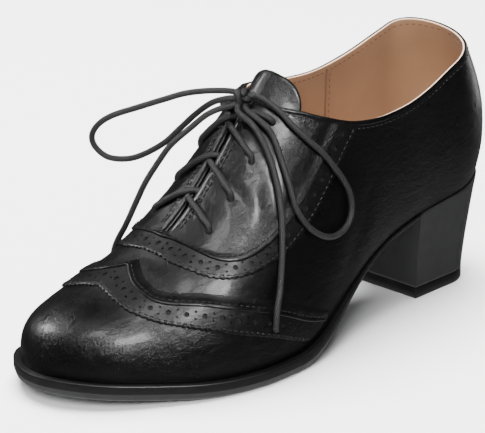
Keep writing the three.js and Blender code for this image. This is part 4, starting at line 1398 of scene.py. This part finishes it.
def crossing_line(row, side):
    """From inside the eyelet, out over the facing, up to the gap and down under the other facing."""
    at = eyelet_at(row)
    climb_by = STRAND_CLIMB[side][row]
    on_facing, on_gap = STRAND_LIFT[side]
    points = [
        skin(at, side * EYELET_DOWN, INNER_END),
        skin(at - 0.001, side * (EYELET_DOWN + 0.002), 0.2),
        skin(at + 0.004, side * (EYELET_DOWN - 0.015), CROSS_LIFT - 0.3),
    ]
    for share in (0.75, 0.5, 0.28):
        along = at + climb_by * (1 - share) ** 0.9
        points.append(skin(along, side * EYELET_DOWN * share, CROSS_LIFT + on_facing))
    points.append(skin(at + climb_by * 0.98, side * 0.02, CROSS_LIFT + on_gap))
    points.append(skin(at + climb_by * 1.12, -side * 0.03, -0.3))
    points.append(skin(at + climb_by * 1.2, -side * 0.06, -1.9))
    return catmull(points, 0.5)


for row in range(EYELET_ROWS - 1):
    lace_mesh(f"lacing_{row + 1}", [crossing_line(row, side) for side in (-1, 1)], f"lace_crossing_{row + 1}")

# The bow's routes in millimetres, and for each where it leaves the knot and, for a loop, where it comes back.
BOW = {
    "lace_loop_outer": [
        [-100.2, -0.4, 107.8], [-98.5, -5, 106], [-96, -10.5, 101.8], [-93.8, -16, 96.2],
        [-90.2, -20.6, 90.8], [-85.8, -24.2, 85.3], [-81.5, -27, 78.6], [-77.5, -28.9, 72],
        [-74.6, -29.7, 66], [-74, -30.4, 60], [-76, -31.2, 55], [-80.2, -31.8, 52],
        [-85.9, -32.2, 50.9], [-91.6, -32.2, 52], [-97, -31.9, 55], [-100.9, -30.7, 58.7],
        [-103.5, -29, 63.1], [-104.8, -27, 67.5], [-104.5, -23.6, 75.3], [-103.6, -18.3, 84.4],
        [-102.6, -12.4, 93.6], [-103.8, -8.2, 98.2], [-105, 0.2, 102.6],
    ],
    "lace_end_outer": [
        [-107.7, 2.3, 102.3], [-107.2, -4.6, 98.4], [-106.8, -8.8, 94.2], [-107.2, -15, 86.1],
        [-109, -21.2, 75.6], [-112, -26.3, 64.5], [-115.6, -30, 53.8], [-118.6, -32.3, 45.1],
        [-121.9, -34.6, 37.8], [-125.6, -36.5, 30.6], [-128, -38, 22],
    ],
    "lace_loop_inner": [
        [-106.7, 7.5, 109.6], [-112, 15.5, 109.2], [-117.4, 23.4, 107.6], [-122.3, 30.7, 104.6],
        [-128.8, 40.7, 100.2], [-134.5, 49.2, 96.3], [-137.9, 54.3, 92], [-139.4, 56.6, 86.9],
        [-138.6, 55.4, 82], [-135.7, 51, 78], [-131.4, 44.6, 77.6], [-127.4, 38.5, 80],
        [-122.4, 31, 85.6], [-118.4, 24.9, 92.8], [-114.7, 19.4, 99.3], [-111.4, 13.6, 104.4],
        [-108, 7.3, 106.9],
    ],
    "lace_end_inner": [
        [-108, 5.8, 104.1], [-111, 9.5, 102.6], [-115.3, 13.3, 100], [-120.5, 17.8, 94.4],
        [-126.3, 22.9, 87.6], [-130.2, 26.4, 80.4], [-134.4, 30, 71.6], [-138, 32.8, 62],
        [-141, 35.2, 53.6], [-142, 39.8, 45.2], [-141, 43.4, 38.4], [-139.6, 45.8, 31.5],
        [-138.1, 47.3, 24], [-137, 48, 18],
    ],
}
HOME = {
    "lace_loop_outer": ([-103.0, 2.4, 107.6], [-103.9, 2.2, 105.0]),
    "lace_end_outer": ([-105.0, 4.0, 106.2], None),
    "lace_loop_inner": ([-104.9, 4.6, 108.6], [-105.2, 4.6, 106.6]),
    "lace_end_inner": ([-105.4, 4.2, 105.6], None),
}
for name, points in BOW.items():
    start, end = HOME[name]
    line = catmull([start, *points] + ([end] if end else []))
    lace_mesh(name.replace("lace_", "bow_"), [line], name)

KNOT = np.array([-104.2, 3.5, 107.2])
KNOT_AXIS = (-0.42, 0.76, -0.05)
KNOT_UP = (-0.55, -0.3, 0.78)
KNOT_SPACING = 0.35
# From the knot to a top eyelet: (back from the eyelet, down from the ridge, lift) points.
TOP_STRAND = [
    (0.017, 0.05, CROSS_LIFT + 1.2),
    (0.009, 0.12, CROSS_LIFT + 0.3),
    (0.003, 0.18, CROSS_LIFT),
    (0.0, 0.212, CROSS_LIFT - 0.7),
    (0.0, 0.222, 0.2),
    (0.0, EYELET_DOWN, INNER_END),
]


def knot_lines():
    """A turn of lace round the bow's middle, a second half turn, and the two runs to the top eyelets."""
    axis = unit(np.array(KNOT_AXIS))
    up = np.array(KNOT_UP)
    up = unit(up - axis * up.dot(axis))
    side = np.cross(axis, up)

    def around(ups, sides, ahead):
        line = KNOT + np.outer(ups, up) + np.outer(sides, side) + np.outer(ahead, axis)
        return resample(line, KNOT_SPACING)

    turn = np.linspace(-0.15 * np.pi, 2.35 * np.pi, 60)
    wide = 2.75 + 0.25 * np.cos(2 * turn)
    half = np.linspace(0.1 * np.pi, 1.5 * np.pi, 40)
    lines = [
        around(wide * np.cos(turn), wide * 0.92 * np.sin(turn), (turn - np.pi) * 0.42),
        around(2.0 * np.sin(half) - 1.3, 0.7 * np.sin(2 * half), 2.6 * np.cos(half)),
    ]
    at = eyelet_at(EYELET_ROWS - 1)
    for sign in (-1, 1):
        strand = [skin(at - before, sign * down, lift) for before, down, lift in TOP_STRAND]
        lines.append(catmull([KNOT + up * -1.2, *strand], 0.5))
    return lines


lace_mesh("bow_knot", knot_lines(), "lace_knot")

# Floor, light and camera.
paint = Nodes("pale_floor")
paint.set(Roughness=0.6)
pale = paint.mix(paint.noise(3, 2), (0.92, 0.92, 0.922), (0.935, 0.935, 0.935))
paint.link(pale, paint.shader.inputs["Base Color"])
FLOOR_HALF = 6
floor = bpy.data.meshes.new("floor")
corners = [(x * FLOOR_HALF, y * FLOOR_HALF, 0) for x, y in ((-1, -1), (1, -1), (1, 1), (-1, 1))]
floor.from_pydata(corners, [], [(0, 1, 2, 3)])
floor.materials.append(paint.material)
floor_object = bpy.data.objects.new("floor", floor)
bpy.context.scene.collection.objects.link(floor_object)
floor_object.visible_glossy = False


def studio_world():
    """Reflections see a dark studio that gets lighter towards the ground, the more steeply they look down."""
    world = bpy.data.worlds.new("studio")
    bpy.context.scene.world = world
    world.use_nodes = True
    nodes, links = world.node_tree.nodes, world.node_tree.links
    sky = nodes["Background"]
    direction = nodes.new("ShaderNodeTexCoord")
    split = nodes.new("ShaderNodeSeparateXYZ")
    ramp = nodes.new("ShaderNodeMapRange")
    steep = nodes.new("ShaderNodeMath")
    steep.operation = "POWER"
    steep.inputs[1].default_value = 2.2
    links.new(direction.outputs["Generated"], split.inputs[0])
    links.new(split.outputs[2], ramp.inputs["Value"])
    links.new(ramp.outputs["Result"], steep.inputs[0])
    links.new(steep.outputs[0], sky.inputs["Strength"])
    for key, number in (("From Min", -0.3), ("From Max", -0.9), ("To Min", 0.28), ("To Max", 1.3)):
        ramp.inputs[key].default_value = number
    sky.inputs["Color"].default_value = (1.0, 1.0, 1.0, 1)


studio_world()
AIM = Vector((-0.1, 0.0, 0.05))


def direction_to(azimuth, elevation):
    """The unit direction at an angle round the shoe, azimuth 0 in front of its outer side."""
    a, e = math.radians(azimuth), math.radians(elevation)
    return Vector((math.sin(a) * math.cos(e), -math.cos(a) * math.cos(e), math.sin(e)))


def softbox(name, azimuth, elevation, distance, size, power, glossy=True, diffuse=True):
    """A rectangular light that looks at the shoe."""
    data = bpy.data.lights.new(name, "AREA")
    data.shape = "RECTANGLE"
    data.size, data.size_y = size
    data.energy = power
    obj = bpy.data.objects.new(name, data)
    way = direction_to(azimuth, elevation)
    obj.location = AIM + way * distance
    obj.rotation_mode = "QUATERNION"
    obj.rotation_quaternion = (-way).to_track_quat("-Z", "Y")
    obj.visible_glossy, obj.visible_diffuse = glossy, diffuse
    bpy.context.scene.collection.objects.link(obj)


# The big top light lays the floor's soft shadow; the small ones only draw the highlights on the leather.
softbox("top_light", 150, 72, 1.5, (1.2, 1.2), 150, glossy=False)
softbox("fill_light", -60, 40, 1.6, (1.0, 1.0), 36, glossy=False)
softbox("front_shine", -23, 42, 1.2, (0.34, 0.3), 18, diffuse=False)
softbox("toe_shine", -152, 36, 1.2, (0.32, 0.26), 10, diffuse=False)
softbox("high_shine", -64, 62, 1.2, (0.3, 0.26), 5, diffuse=False)
softbox("back_shine", 96, 4, 1.2, (0.3, 0.7), 1.5, diffuse=False)

# The camera fitted to the photo. Focal length and the middle's shift are in pixels of the photo.
PHOTO_WIDTH = 485
FOCAL = 2497
SHIFT_RIGHT = 11.7
SHIFT_UP = 47.9
SENSOR = 36
CAMERA_AZIMUTH = -45.5
CAMERA_ELEVATION = 21.7
CAMERA_ROLL = math.radians(-0.4)
CAMERA_DISTANCE = 1.037
CAMERA_AIM = Vector((-0.115, 0, 0.0377))


def photo_camera():
    data = bpy.data.cameras.new("camera")
    camera = bpy.data.objects.new("camera", data)
    bpy.context.scene.collection.objects.link(camera)
    bpy.context.scene.camera = camera
    back_way = direction_to(CAMERA_AZIMUTH, CAMERA_ELEVATION)
    right = Vector((math.cos(math.radians(CAMERA_AZIMUTH)), math.sin(math.radians(CAMERA_AZIMUTH)), 0))
    above = back_way.cross(right)
    cosine, sine = math.cos(CAMERA_ROLL), math.sin(CAMERA_ROLL)
    right, above = right * cosine + above * sine, above * cosine - right * sine
    camera.location = CAMERA_AIM + back_way * CAMERA_DISTANCE
    look = (-back_way + right * (SHIFT_RIGHT / FOCAL) + above * (SHIFT_UP / FOCAL)).normalized()
    side_way = look.cross(above).normalized()
    turned = Matrix((side_way, side_way.cross(look), -look)).transposed().to_4x4()
    camera.matrix_world = Matrix.Translation(camera.location) @ turned
    data.sensor_width = SENSOR
    data.lens = FOCAL / PHOTO_WIDTH * SENSOR
    data.clip_start, data.clip_end = 0.05, 20


photo_camera()
